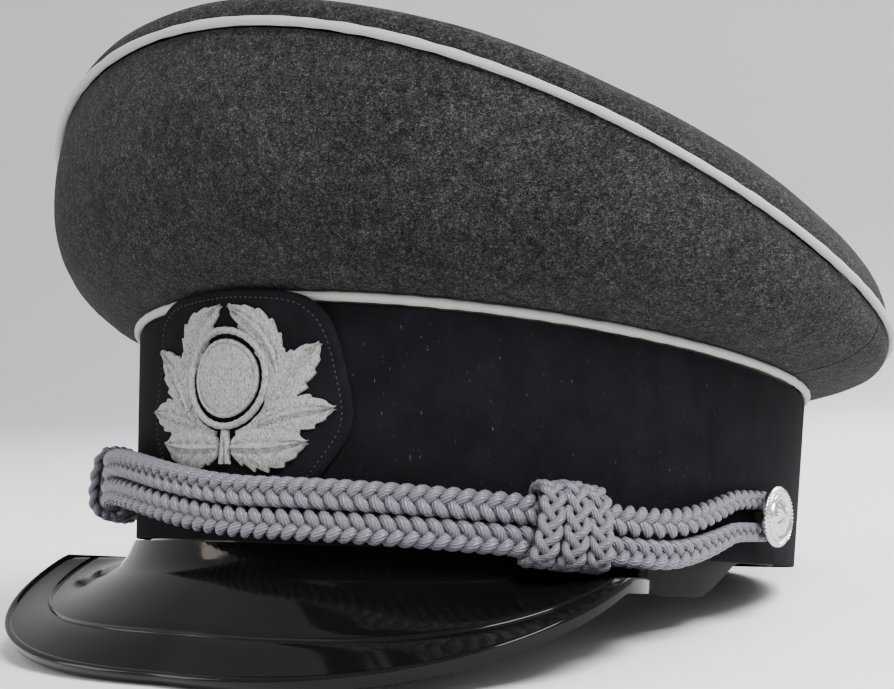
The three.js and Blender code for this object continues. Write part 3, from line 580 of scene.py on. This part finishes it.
# ---------- band and what is inside it ----------
def wall_ring(name, inner, outer, bottom, top, material, node, rows=6, count=180, round_edge=0.35):
    """A ring of the wall with softly rounded edges."""
    sections = []
    for angle in np.linspace(0, 360, count, endpoint=False):
        low, high = bottom(angle), top(angle)
        r = min(round_edge, (outer - inner) / 2)
        outside = [(outer - r, low), (outer - 0.3 * r, low + 0.3 * r)]
        outside += [(outer, z) for z in np.linspace(low + r, high - r, rows)]
        outside += [(outer - 0.3 * r, high - 0.3 * r), (outer - r, high)]
        inside = [(inner + r, high), (inner + 0.3 * r, high - 0.3 * r)]
        inside += [(inner, z) for z in np.linspace(high - r, low + r, rows)]
        inside += [(inner + 0.3 * r, low + 0.3 * r), (inner + r, low)]
        sections.append([wall(angle, layer, z) for layer, z in outside + inside])
    return finish_object(name, lofted(name, sections, ring=True), material, replaces=[node])


def lining_side():
    def place(angle, t, depth):
        layer = FLANGE_IN + LINING_THICK - depth
        if t <= 0:
            return wall(angle, layer, lerp(band_top(angle) + LINING_OVER_BAND, LINING_START, -t))
        return crown_side(angle, t, LINING_DEPTH + depth)

    rows = [-1, -0.5, 0, 0.2, 0.3, 0.4, 0.5, 0.58, LINING_END]
    sections = []
    for angle in np.linspace(0, 360, 160, endpoint=False):
        pleat = 0.25 * math.sin(math.radians(angle * 40))
        outside = [place(angle, t, 0.1 + (pleat if t > 0 else 0)) for t in rows]
        inside = [place(angle, t, LINING_THICK + (pleat if t > 0 else 0)) for t in rows[::-1]]
        sections.append(outside + inside)
    mesh = lofted("lining_side_satin", sections, ring=True)
    return finish_object("lining_side_satin", mesh, lining_satin, replaces=["lining_side"])


def lining_top_point(angle, share, below):
    edge = crown_side(angle, LINING_END, LINING_DEPTH + LINING_THICK + 5 * GAP)
    z = lerp(CROWN_CENTRE_HEIGHT - LINING_DROP, edge[2], share**1.5)
    return point(edge[0] * share, edge[1] * share, z - below)


def lining_top():
    shares = np.linspace(0, 1, 15)[1:]
    mesh = disc_mesh(
        "lining_top_satin",
        120,
        shares,
        lambda a, s: lining_top_point(a, s, 0),
        lambda a, s: lining_top_point(a, s, LINING_THICK) + point(0, 0, 0.3 * math.sin(8 * math.pi * s) * (1 - s)),
    )
    return finish_object("lining_top_satin", mesh, lining_satin, replaces=["lining_top"])


def sweat_shield():
    def place(angle, share, below):
        reach = share * SHIELD_SHARE / (abs(sine(angle)) + abs(cosine(angle)))
        return lining_top_point(angle, reach, below)

    low = LINING_THICK + 4 * GAP
    mesh = disc_mesh(
        "sweat_shield_film",
        80,
        [0.3, 0.6, 0.85, 1],
        lambda a, s: place(a, s, low),
        lambda a, s: place(a, s, low + SHIELD_THICK),
    )
    return finish_object("sweat_shield_film", mesh, film, replaces=["sweat_shield"])


def sweatband_stitches():
    """A running stitch along the sweatband's lower and upper edges, on the side that the head meets."""
    parts = []
    for height, offset in ((3.0, 0), (SWEATBAND_HEIGHT - 3.0, 0.5)):
        for i in range(120):
            angle = (i + offset) * 3
            low = flap_bottom(angle) if height < 10 else 0
            ends = [wall(angle + d, -0.12, height + low) for d in (-1.0, 0, 1.0)]
            normal = wall_normal(angle)
            parts.append(
                tube_sections(ends, [normal] * 3, [point(0, 0, 1)] * 3, [0.1, 0.22, 0.1], [0.12, 0.25, 0.12], 6)
            )
    return joined("sweatband_stitches", parts, stitch_thread)


def joined(name, parts, material, body="cap", replaces=(), ring=False, uv_scale=None, sharp=40):
    """Several lofts in one piece."""
    build = bmesh.new()
    for sections in parts:
        mesh = lofted(name, sections, ring=ring, uv_scale=uv_scale)
        build.from_mesh(mesh)
        bpy.data.meshes.remove(mesh)
    mesh = bpy.data.meshes.new(name)
    build.to_mesh(mesh)
    build.free()
    return finish_object(name, mesh, material, body=body, replaces=replaces, sharp=sharp)


# ---------- visor ----------
def visor_share(angle):
    return abs(angle) / VISOR_HALF_ANGLE


def visor_reach(angle):
    share = min(1, visor_share(angle))
    return max(3, VISOR_FRONT_REACH * (1 - share**8) + VISOR_SHOULDER * math.sin(math.pi * share**1.3))


def visor_fall(angle):
    return max(VISOR_END_DROP, VISOR_DROP * (1 - abs(angle / VISOR_DROP_END) ** 2.65))


VISOR_ROOT = -1.5 * GAP  # the visor's upper face where it leaves the band
RIDGE_SHARE = 0.66  # the pressed line that runs round the visor inside its edge
BEAD_SHARE, BEAD_REACH = 0.975, 0.028  # the turned edge: its middle and how far it goes to each side


def visor():
    """A moulded shell with a turned bead at its edge and a pressed line inside it."""
    shares = sorted(
        set(np.linspace(0, 1, 19))
        | {RIDGE_SHARE + d for d in (-0.03, -0.02, -0.012, -0.006, 0, 0.006, 0.012, 0.02, 0.03)}
        | {0.93, 0.945, 0.955, 0.965, 0.975, 0.985, 0.993}
    )

    def place(angle, s):
        bend = lerp(1.15, 0.85, smoothstep(visor_share(angle), 0, 0.7))
        z = VISOR_ROOT - VISOR_ROOT_DROP * min(1, s / 0.08) - visor_fall(angle) * s**bend
        return polar_wall(angle, BAND_OUT + 0.4 + (visor_reach(angle) - 0.4) * s, z)

    def relief(s):
        ridge = 0.75 * math.exp(-(((s - RIDGE_SHARE) / 0.009) ** 2)) - 0.25 * math.exp(
            -(((s - RIDGE_SHARE) / 0.03) ** 2)
        )
        from_bead = s - BEAD_SHARE
        bead = 0.9 * max(0, 1 - (from_bead / BEAD_REACH) ** 2) ** 0.5 if abs(from_bead) < BEAD_REACH else 0
        return ridge + bead

    sections = []
    for u in np.linspace(-1, 1, 121):
        angle = 0.995 * VISOR_HALF_ANGLE * math.sin(u * math.pi / 2)
        fade = smoothstep(1 - abs(u), 0, 0.12)
        away = point(sine(angle), -cosine(angle), 0)
        outer, inner = [], []
        for s in shares:
            p = place(angle, s)
            slope = unit(place(angle, min(1, s + 0.01)) - place(angle, max(0, s - 0.01)))
            normal = unit(away * -slope[2] + point(0, 0, abs(float(slope @ away))))
            thick = VISOR_THICK + (0.9 if s > 0.94 else 0)
            outer.append(p + normal * relief(s) * fade)
            inner.append(p - normal * thick)
        top = [
            polar_wall(angle, FLANGE_OUT + FLANGE_HEIGHT * BAND_FLARE, FLANGE_HEIGHT),
            polar_wall(angle, FLANGE_OUT, VISOR_ROOT),
        ]
        back = [
            polar_wall(angle, FLANGE_IN, VISOR_ROOT - VISOR_THICK),
            polar_wall(angle, FLANGE_IN + FLANGE_HEIGHT * BAND_FLARE, FLANGE_HEIGHT),
        ]
        sections.append(top + outer + inner[::-1] + back)
    mesh = lofted("visor_shell", sections)
    return finish_object("visor_shell", mesh, lacquer, replaces=["visor"], sharp=50)


# ---------- chin cord ----------
def cord_plane(angle):
    y = -(HEAD_HALF_LENGTH + CORD_OFFSET) * cosine(angle)
    lift = CORD_RIGHT_LIFT * smoothstep(-angle, -8, 34)
    return CORD_FRONT_HEIGHT + lift - CORD_SLOPE * (y + HEAD_HALF_LENGTH + CORD_OFFSET)


def strand_half(level, side):
    """One strand from the middle of the front to the loop behind a button: x, y, z, angle and thinning share."""
    line = []
    for a in [*np.linspace(0, CORD_FLAT_END, 13), 70, 74, 78, 82]:
        share = smoothstep(a, CORD_FLAT_END - 4, LOOP_START)
        z = lerp(cord_plane(side * a), BUTTON_HEIGHT, share) + level * lerp(STRAND_SPACING, LOOP_RADIUS, share)
        offset = lerp(CORD_STAND_OFF, LOOP_OFFSET, smoothstep(a, CORD_FLAT_END, LOOP_START))
        line.append((*wall(side * a, BAND_OUT + offset, 0)[:2], z, side * a, share))
    for b in (90, 68, 46, 26, 14):
        angle = math.degrees(math.acos(-LOOP_RADIUS * cosine(b) / (HEAD_HALF_LENGTH + BAND_OUT)))
        z = BUTTON_HEIGHT + level * LOOP_RADIUS * sine(b)
        line.append((*wall(side * angle, BAND_OUT + LOOP_OFFSET, 0)[:2], z, side * angle, 1))
    return line


PLAIT_PERIOD = 11.0  # one yarn's full way across and back
YARN_RADIUS = 1.3


def plaited_strand(name, level, node):
    """Three yarns plaited flat, drawn thin where the strand loops round its buttons."""
    line, places = resampled(strand_half(level, -1)[:0:-1] + strand_half(level, 1), 0.62)
    centres, angles, thin = line[:, :3], line[:, 3], line[:, 4]
    tangents = np.gradient(centres, axis=0)
    across = np.array([wall_normal(a) for a in angles])
    heights = np.array([unit(np.cross(a, unit(t))) for a, t in zip(across, tangents)])
    scale = 1 - thin * (1 - CORD_END_HALF_HEIGHT / CORD_HALF_HEIGHT)
    parts = []
    for yarn in range(3):
        turn = level * (2 * np.pi * places / PLAIT_PERIOD + 0.15 * np.sin(places / 17)) + 2 * np.pi * yarn / 3
        side = (CORD_HALF_HEIGHT - YARN_RADIUS + 0.15) * scale * np.sin(turn)
        depth = (CORD_HALF_DEPTH - YARN_RADIUS - 0.35) * scale * np.sin(2 * turn)
        path = centres + heights * side[:, None] + across * depth[:, None]
        run = np.gradient(path, axis=0)
        run /= np.linalg.norm(run, axis=1)[:, None]
        out = across - run * np.sum(across * run, axis=1)[:, None]
        out /= np.linalg.norm(out, axis=1)[:, None]
        up = np.cross(out, run)
        girth = YARN_RADIUS * scale
        girth[:3] *= [0.5, 0.8, 0.95]
        girth[-3:] *= [0.95, 0.8, 0.5]
        parts.append(tube_sections(path, out, up, girth * 0.92, girth * 1.06, 10))
    length = places[-1] * 1.35
    return joined(
        name, parts, rayon, body="chin_cord", replaces=[node], uv_scale=(length, 9), sharp=80
    )


KNOT_COLUMNS = (-6.1, 0.0, 6.1)  # mm along the cord
KNOT_TURNS = 5  # times that each yarn crosses over on its way round
KNOT_YARN = 1.08  # each yarn's half thickness
KNOT_SWING = 2.25  # how far a yarn goes to each side of its ring's middle
KNOT_OUT, KNOT_IN = 4.2, 3.6  # the core's half depth, away from the band and towards it
KNOT_UP, KNOT_DOWN = 8.4, 8.15  # the core's half height, upwards and down over the visor
KNOT_SQUARENESS = 3.1


def slide_knot(side, label):
    """The slide: three plaited rings side by side round the cord, on a woven core."""
    angle = side * SLIDE_ANGLE
    w, l = HEAD_HALF_WIDTH + CORD_OFFSET, HEAD_HALF_LENGTH + CORD_OFFSET
    height = CORD_FRONT_HEIGHT + (CORD_RIGHT_LIFT if side < 0 else 0) - CORD_SLOPE * (l - l * cosine(angle))
    centre = point(w * sine(angle), -l * cosine(angle), height)
    axis = unit(point(0, CORD_SLOPE, 1))
    out = point(l * sine(angle), -w * cosine(angle), 0)
    out = unit(out - axis * (out @ axis))
    radius = math.hypot(w * cosine(angle), l * sine(angle)) ** 3 / (w * l)
    pivot = centre - out * radius

    def place(along, around, stand):
        """along the cord, around it in radians, and standing off the core's surface."""
        turn = along / radius
        arm = out * math.cos(turn) + np.cross(axis, out) * math.sin(turn)
        c, s = math.cos(around), math.sin(around)
        deep = KNOT_OUT + stand if c > 0 else KNOT_IN + 0.45 * stand  # flatter against the band
        tall = KNOT_UP + stand if s > 0 else KNOT_DOWN + 0.35 * stand  # and over the visor
        even = (abs(c) ** KNOT_SQUARENESS + abs(s) ** KNOT_SQUARENESS) ** (-1 / KNOT_SQUARENESS)
        return pivot + arm * (radius + deep * c * even) + axis * tall * s * even

    parts = []
    for column, middle in enumerate(KNOT_COLUMNS):
        for yarn in range(3):
            path = []
            for phi in np.linspace(0, 2 * np.pi, 240, endpoint=False):
                turn = KNOT_TURNS * phi + 2 * np.pi * yarn / 3 + column
                lean = 1.0 * math.sin(phi) * (1 - column) + 0.7 * math.cos(phi)
                along = middle + lean + KNOT_SWING * math.sin(turn)
                stand = 1.4 + 0.5 * math.sin(2 * turn) + 0.5 * (column == 1)
                path.append((place(along, phi, stand), place(along, phi, stand + 1)))
            centres = np.array([p for p, _ in path])
            normals = np.array([unit(q - p) for p, q in path])
            run = np.roll(centres, -1, axis=0) - np.roll(centres, 1, axis=0)
            run /= np.linalg.norm(run, axis=1)[:, None]
            normals -= run * np.sum(normals * run, axis=1)[:, None]
            sizes = np.full(len(path), KNOT_YARN)
            parts.append(tube_sections(centres, normals, np.cross(normals, run), sizes * 0.92, sizes * 1.05, 10))
    joined(
        f"slide_knot_{label}",
        parts,
        rayon,
        f"slide_{label}",
        [f"chin_slide_{label}"],
        True,
        (66, 9),
        sharp=80,
    )
    reach = SLIDE_HALF_LENGTH - 1
    around = np.linspace(0, 2 * np.pi, 40, endpoint=False)
    core = [[place(along, t, 0) for t in around] for along in np.linspace(-reach, reach, 12)]
    core += [[place(along, t, -0.25) for t in around] for along in np.linspace(reach, -reach, 12)]
    # the core wears a darker copy of the cord rayon: painted shade deep between the rings
    joined(f"slide_core_{label}", [core], rayon_painted_shade, f"slide_{label}", ring=True, uv_scale=(40, 40))


# ---------- side buttons ----------
def side_button(side, label):
    """A pressed button: rope edge, raised ring, low dome with eight flutes."""
    back = BAND_OUT + LOOP_OFFSET + CORD_END_HALF_DEPTH + 0.4
    base = HEAD_HALF_WIDTH + BUTTON_HEIGHT * BAND_FLARE + back
    radii = [0.001, 1.2, 2.2, 3.0, 3.8, 4.5, 4.9, 5.2, 5.5, 5.9, 6.3, 6.6, 6.9, 7.2, 7.5, 7.8, 8.0, 8.0, 7.6, 0.001]

    def height(radius, turn, index):
        if index == len(radii) - 1 or index == len(radii) - 2:
            return 0.0
        if index == len(radii) - 3:
            return 0.5
        dome = 1.4 + 1.9 * max(0, 1 - (radius / 5.6) ** 2)
        flute = 0.22 * math.cos(8 * turn) * math.sin(math.pi * min(1, radius / 4.6)) if radius < 4.6 else 0
        ring = 0.5 * math.exp(-(((radius - 5.2) / 0.3) ** 2))
        edge = (0.75 + 0.22 * math.cos(44 * turn + 6 * radius)) * math.exp(-(((radius - 7.2) / 0.5) ** 2))
        return dome + flute + ring + edge

    sections = []
    for turn in np.linspace(0, 2 * np.pi, 264, endpoint=False):
        loop = []
        for index, radius in enumerate(radii):
            x = base + height(radius, turn, index)
            loop.append(point(side * x, radius * math.cos(turn), BUTTON_HEIGHT + radius * math.sin(turn)))
        sections.append(loop)
    mesh = lofted(f"button_face_{label}", sections, ring=True)
    return finish_object(
        f"button_face_{label}", mesh, pearl, replaces=[f"side_button_{label}"], sharp=60
    )


# ---------- badge ----------
def on_front(along, z, stand):
    """On the front of the band, from the distance along it and the height, standing out from the cloth."""
    radius = (HEAD_HALF_WIDTH + BAND_OUT) ** 2 / (HEAD_HALF_LENGTH + BAND_OUT)
    angle = math.degrees(along / (HEAD_HALF_WIDTH + BAND_OUT)) * (1 + along * along / (24 * radius * radius))
    over_piping = (PIPING_RADIUS + 0.7) * smoothstep(z, band_top(0) - 16, band_top(0) - 3)
    return wall(angle, BAND_OUT + GAP + over_piping + stand, z)


PATCH_CORNERS = [(0, 61.5), (20, 60), (27.5, 54), (33, 32), (32, 25), (19, 7), (12, 5), (0, 4.5)]


def patch_outline(count):
    """The patch's outline, a hexagon with round corners, as points (along, z)."""
    ring = PATCH_CORNERS + [(-x, z) for x, z in PATCH_CORNERS[-2:0:-1]]
    ring = np.array(ring, dtype=float)
    for _ in range(3):  # corner cutting
        following = np.roll(ring, -1, axis=0)
        ring = np.stack([0.82 * ring + 0.18 * following, 0.18 * ring + 0.82 * following], axis=1).reshape(-1, 2)
    closed = np.vstack([ring, ring[:1]])
    lengths = np.concatenate([[0], np.cumsum(np.linalg.norm(np.diff(closed, axis=0), axis=1))])
    places = np.linspace(0, lengths[-1], count, endpoint=False)
    return np.stack([np.interp(places, lengths, closed[:, 0]), np.interp(places, lengths, closed[:, 1])], axis=1)


def badge_patch():
    outline = patch_outline(160)
    middle = np.array([0, 33.0])

    def face(stand):
        def at(angle, share):
            edge = outline[int(round(angle / 360 * 160)) % 160]
            along, z = lerp(middle, edge, share)
            drop = 0.75 * max(0, (share - 0.965) / 0.035) ** 2 if stand > 0.5 else 0
            groove = 0.22 * math.exp(-(((share - 0.925) / 0.012) ** 2)) if stand > 0.5 else 0
            return on_front(along, z, stand - drop - groove)

        return at

    shares = [0.15, 0.3, 0.45, 0.6, 0.72, 0.82, 0.89, 0.91, 0.925, 0.94, 0.955, 0.97, 0.985, 1.0]
    mesh = disc_mesh("badge_patch", 160, shares, face(BADGE_THICK), face(0.05))
    finish_object("badge_patch", mesh, patch_felt, replaces=["badge_backing"])
    parts = []
    count = 128
    line = patch_outline(count * 2)
    for i in range(count):
        a, b = (middle + (line[(2 * i + k) % (2 * count)] - middle) * 0.925 for k in (0, 1))
        spots = [on_front(*lerp(a, b, t), BADGE_THICK - 0.1) for t in (0, 0.5, 1)]
        out = wall_normal(0)
        across = [unit(np.cross(out, spots[2] - spots[0]))] * 3
        parts.append(tube_sections(spots, [out] * 3, across, [0.1, 0.24, 0.1], [0.12, 0.24, 0.12], 6))
    return joined("badge_edge_stitches", parts, dark_thread)


# Each leaf of one spray, from the roundel's centre: foot, tip, width and bow, all in mm.
LEAVES = [
    ((14.8, 1.5), (1.6, 17.6), 8.6, 2.6),
    ((12.5, -7.5), (24.6, 8.0), 9.6, -0.8),
    ((10.0, -11.0), (28.4, -7.0), 9.4, -0.6),
    ((2.0, -16.6), (22.0, -15.2), 11.0, 0.8),
]


def leaf(foot, tip, width, bow, side, lift):
    """One embroidered leaf: toothed edge, a raised rib down the middle and a swell on each side of it."""
    steps, rows = 44, 16
    foot, tip = np.array(foot), np.array(tip)
    length = np.linalg.norm(tip - foot)
    forward = (tip - foot) / length
    right = np.array([forward[1], -forward[0]])

    def place(i, j, under):
        t, v = i / steps, 2 * j / rows - 1
        full = math.sin(math.pi * min(1, 0.12 + t * 0.9)) ** 0.7
        tooth = (t * 5.5 + 0.25 * (v > 0)) % 1
        half = max(0.5, width / 2 * full * (0.86 + 0.26 * tooth))
        spot = foot + forward * length * (t + 0.04 * abs(v)) + right * (half * v + bow * math.sin(math.pi * t))
        rib = 0.45 * math.exp(-((v / 0.10) ** 2)) - 0.45 * math.exp(-(((abs(v) - 0.22) / 0.09) ** 2))
        veins = 0.13 * math.cos(2 * math.pi * (5.5 * t - 1.4 * abs(v)))
        swell = 0.0 if under else 0.55 + 0.6 * (1 - abs(v) ** 2.4) + rib + veins * (1 - abs(v) ** 4)
        return on_front(
            side * spot[0],
            WREATH_CENTRE + spot[1],
            BADGE_THICK + BADGE_OVERLAY_GAP - 0.35 + (0 if under else lift) + swell,
        )

    return [
        [place(i, j, False) for j in range(rows + 1)] + [place(i, j, True) for j in range(rows, -1, -1)]
        for i in range(steps + 1)
    ]


def leaf_bed(side):
    """The stitched ground between the ring and the leaves; angles are from straight down."""

    def place(turn, distance, stand):
        spot = (side * distance * sine(turn), WREATH_CENTRE - distance * cosine(turn))
        return on_front(*spot, BADGE_THICK + BADGE_OVERLAY_GAP - 0.4 + stand)

    sections = []
    for turn in np.linspace(14, 132, 60):
        far = 15.5 + 4.5 * math.sin(math.pi * smoothstep(turn, 0, 150)) + 0.3 * math.sin(turn)
        distances = np.linspace(12.9, far, 9)
        top = [place(turn, d, 0.75 + 0.12 * math.sin(4 * d + 0.3 * turn)) for d in distances]
        sections.append(top + [place(turn, d, 0) for d in distances[::-1]])
    return sections


def wreath():
    """Two sprays of plain toothed leaves, a stalk where they meet, a ring and a boss."""
    for side, label in ((1, "left"), (-1, "right")):
        parts = [leaf_bed(side)] + [leaf(*spec, side, 0.25 * (i % 2)) for i, spec in enumerate(LEAVES)]
        joined(f"wreath_leaves_{label}", parts, embroidery, replaces=[f"wreath_{label}"], sharp=60)

    def ring(radius, girth, stand, name, replaces=()):
        sections = []
        for turn in np.linspace(0, 360, 120, endpoint=False):
            def at(r, out, turn=turn):
                return on_front(r * sine(turn), WREATH_CENTRE + 0.3 + r * cosine(turn), BADGE_THICK + stand + out)

            rope = 1 + 0.10 * math.sin(math.radians(turn * 34))
            sections.append(
                [
                    at(radius + girth * rope * math.cos(a), girth * (1 + math.sin(a)))
                    for a in np.linspace(0, 2 * np.pi, 10, endpoint=False)
                ]
            )
        joined(name, [sections], embroidery, replaces=replaces, ring=True, sharp=60)

    ring(ROUNDEL_RADIUS + 1.1, 0.85, 0.35, "roundel_cord", ["roundel_ring"])
    ring(ROUNDEL_RADIUS - 1.5, 0.6, 0.5, "roundel_inner_cord")
    boss_radius = ROUNDEL_RADIUS - 1.2

    def boss(angle, share):
        r = boss_radius * share
        rows = 0.10 * math.cos(2 * math.pi * r / 0.75)
        stand = BADGE_OVERLAY_GAP + 1.1 + 0.5 * (1 - share**2) + rows - 0.8 * share**12
        return on_front(r * sine(angle), WREATH_CENTRE + 0.3 + r * cosine(angle), BADGE_THICK + stand)

    def under(angle, share):
        r = boss_radius * share
        return on_front(r * sine(angle), WREATH_CENTRE + 0.3 + r * cosine(angle), BADGE_THICK + 0.3)

    mesh = disc_mesh("roundel_dome", 72, np.linspace(0, 1, 33)[1:], boss, under)
    finish_object("roundel_dome", mesh, embroidery, replaces=["roundel_boss"], sharp=70)
    stalks = []
    for lean in (-1.5, 1.5):
        spots = [
            on_front(lean * (0.25 + 0.45 * t), WREATH_CENTRE - 12.4 - 8.2 * t, BADGE_THICK + 0.75)
            for t in np.linspace(0, 1, 8)
        ]
        normal = wall_normal(0)
        stalks.append(tube_sections(spots, [normal] * 8, [point(1, 0, 0)] * 8, [0.75] * 8, [0.85] * 8, 10))
    joined("wreath_stalk", stalks, embroidery, sharp=60)


# ---------- room, light and camera ----------
def room():
    """A pale floor that sweeps up behind the cap."""
    rows = []
    for i in range(25):
        t = i / 24
        if t < 0.5:
            y, z = lerp(-2.5, 1.5, t * 2), 0.0
        else:
            a = (t - 0.5) * math.pi
            y, z = 1.5 + math.sin(a) * 1.5, 1.5 - math.cos(a) * 1.5
        rows.append((y, z))
    verts = [(x, y, z - 0.0002) for y, z in rows for x in (-4, 4)]
    faces = [(2 * i, 2 * i + 1, 2 * i + 3, 2 * i + 2) for i in range(len(rows) - 1)]
    mesh = bpy.data.meshes.new("floor")
    mesh.from_pydata(verts, [], faces)
    mesh.shade_smooth()
    floor = bpy.data.objects.new("floor", mesh)
    n = Nodes("floor_paper", 0.9)
    n.colour((0.93, 0.93, 0.93))
    mesh.materials.append(n.material)
    bpy.context.scene.collection.objects.link(floor)


def area_light(name, place, aim, size, power, colour=(1, 1, 1)):
    data = bpy.data.lights.new(name, "AREA")
    data.shape = "RECTANGLE"
    data.size, data.size_y = size
    data.energy = power
    data.color = colour
    lamp = bpy.data.objects.new(name, data)
    lamp.location = place
    lamp.rotation_euler = (Vector(aim) - Vector(place)).to_track_quat("-Z", "Y").to_euler()
    bpy.context.scene.collection.objects.link(lamp)


def lights():
    world = bpy.data.worlds.new("studio")
    world.use_nodes = True
    world.node_tree.nodes["Background"].inputs["Color"].default_value = (0.95, 0.97, 1.0, 1)
    world.node_tree.nodes["Background"].inputs["Strength"].default_value = 0.75
    bpy.context.scene.world = world
    area_light("key", (1.1, -0.5, 1.3), (0, 0, 0.08), (0.7, 0.7), 52)
    area_light("rim", (0.5, 1.3, 1.1), (0, 0, 0.1), (1.2, 0.8), 40, (0.93, 0.96, 1.0))
    area_light("window", (-1.2, -0.9, 0.5), (0, -0.1, 0.05), (0.5, 0.8), 7, (1.0, 0.9, 0.8))


CAMERA_PLACE = (0.2871, -0.4049, 0.0717)
CAMERA_AZIMUTH, CAMERA_PITCH, CAMERA_ROLL = 34.65, -0.8, -2.49  # degrees
CAMERA_LENS = 68.2


def camera():
    data = bpy.data.cameras.new("camera")
    data.lens, data.sensor_width = CAMERA_LENS, 36
    data.shift_x, data.shift_y = -0.0383, 0.0475
    data.clip_start = 0.01
    view = bpy.data.objects.new("camera", data)
    turn = Matrix.Rotation(math.radians(CAMERA_AZIMUTH), 4, "Z")
    pitch = Matrix.Rotation(math.radians(90 + CAMERA_PITCH), 4, "X")
    roll = Matrix.Rotation(math.radians(CAMERA_ROLL), 4, "Z")
    view.matrix_world = Matrix.Translation(CAMERA_PLACE) @ turn @ pitch @ roll
    bpy.context.scene.collection.objects.link(view)
    bpy.context.scene.camera = view


# ---------- put it together ----------
camera()
lights()
room()

wool = grey_wool()
felt = black_felt(level=0.5)
patch_felt = black_felt("patch_felt", lint=False, level=0.6)
piping_white = piping_cloth()
lacquer = visor_lacquer()
rayon = cord_rayon(light=0.52)
# the same rayon darkened for the slide's core: painted shade
rayon_painted_shade = cord_rayon("cord_rayon_core_painted_shade", 0.2)
embroidery = white_embroidery()
pearl = pearl_metal()
sweatband_leather = leather()
lining_satin = satin("lining_satin", (0.16, 0.115, 0.055), (0.30, 0.225, 0.115))
film = clear_film()
stitch_thread = plain("stitch_thread", (0.30, 0.28, 0.25), (0.5, 0.47, 0.42), 0.7, grain=0.2)
dark_thread = plain("dark_thread", (0.004, 0.004, 0.0045), (0.022, 0.022, 0.024), 0.8, grain=0.3)

crown_panel("crown_front_panel_cloth", -SIDE_SEAM, SIDE_SEAM, 150)
crown_panel("crown_rear_left_panel_cloth", SIDE_SEAM, 180, 60)
crown_panel("crown_rear_right_panel_cloth", 180, 360 - SIDE_SEAM, 60)
crown_top_cloth()
piping("crown_piping_cord", lambda a: rim(a, -0.5), "crown_piping")
piping("band_piping_cord", lambda a: wall(a, BAND_OUT + 0.4, band_top(a)), "band_piping")

wall_ring(
    "band_cloth",
    BAND_IN,
    BAND_OUT,
    lambda a: 0,
    lambda a: band_top(a) - CROWN_START,
    felt,
    "cap_band",
    10,
)
wall_ring(
    "sweatband_skin",
    0,
    SWEATBAND_THICK,
    flap_bottom,
    lambda a: SWEATBAND_HEIGHT,
    sweatband_leather,
    "sweatband",
)
sweatband_stitches()
lining_side()
lining_top()
sweat_shield()
visor()
plaited_strand("plait_upper", 1, "chin_cord_upper")
plaited_strand("plait_lower", -1, "chin_cord_lower")
for side, label in ((1, "left"), (-1, "right")):
    slide_knot(side, label)
    side_button(side, label)
badge_patch()
wreath()

INSIDE = {
    "band_stiffener": plain("stiffener_fibre", (0.10, 0.065, 0.035), (0.18, 0.12, 0.07), 0.85),
    "sweatband_join_tab": sweatband_leather,
    "crown_wire": plain("spring_steel", (0.22, 0.23, 0.25), (0.34, 0.35, 0.37), 0.3, 1.0, grain=0.4, depth=0.01),
    "wire_ferrule": plain("brass", (0.38, 0.23, 0.06), (0.5, 0.32, 0.1), 0.35, 1.0, grain=0.5, depth=0.01),
    "rim_wadding": plain("wadding", (0.6, 0.56, 0.48), (0.74, 0.7, 0.62), 0.95, grain=1.5, depth=0.8),
    "front_interlining": plain("interlining_canvas", (0.40, 0.35, 0.24), (0.54, 0.48, 0.34), 0.9, grain=0.8, depth=0.3),
}
INSIDE["front_stay"] = INSIDE["crown_wire"]
for label in ("left", "right"):
    INSIDE[f"button_washer_{label}"] = INSIDE["wire_ferrule"]
    INSIDE[f"button_prongs_{label}"] = INSIDE["wire_ferrule"]
for node, material in INSIDE.items():
    slots = frame["nodes"][node].material_slots
    if not slots:
        frame["nodes"][node].data.materials.append(material)
    for entry in frame["nodes"][node].material_slots:
        entry.material = material

bpy.context.view_layer.update()
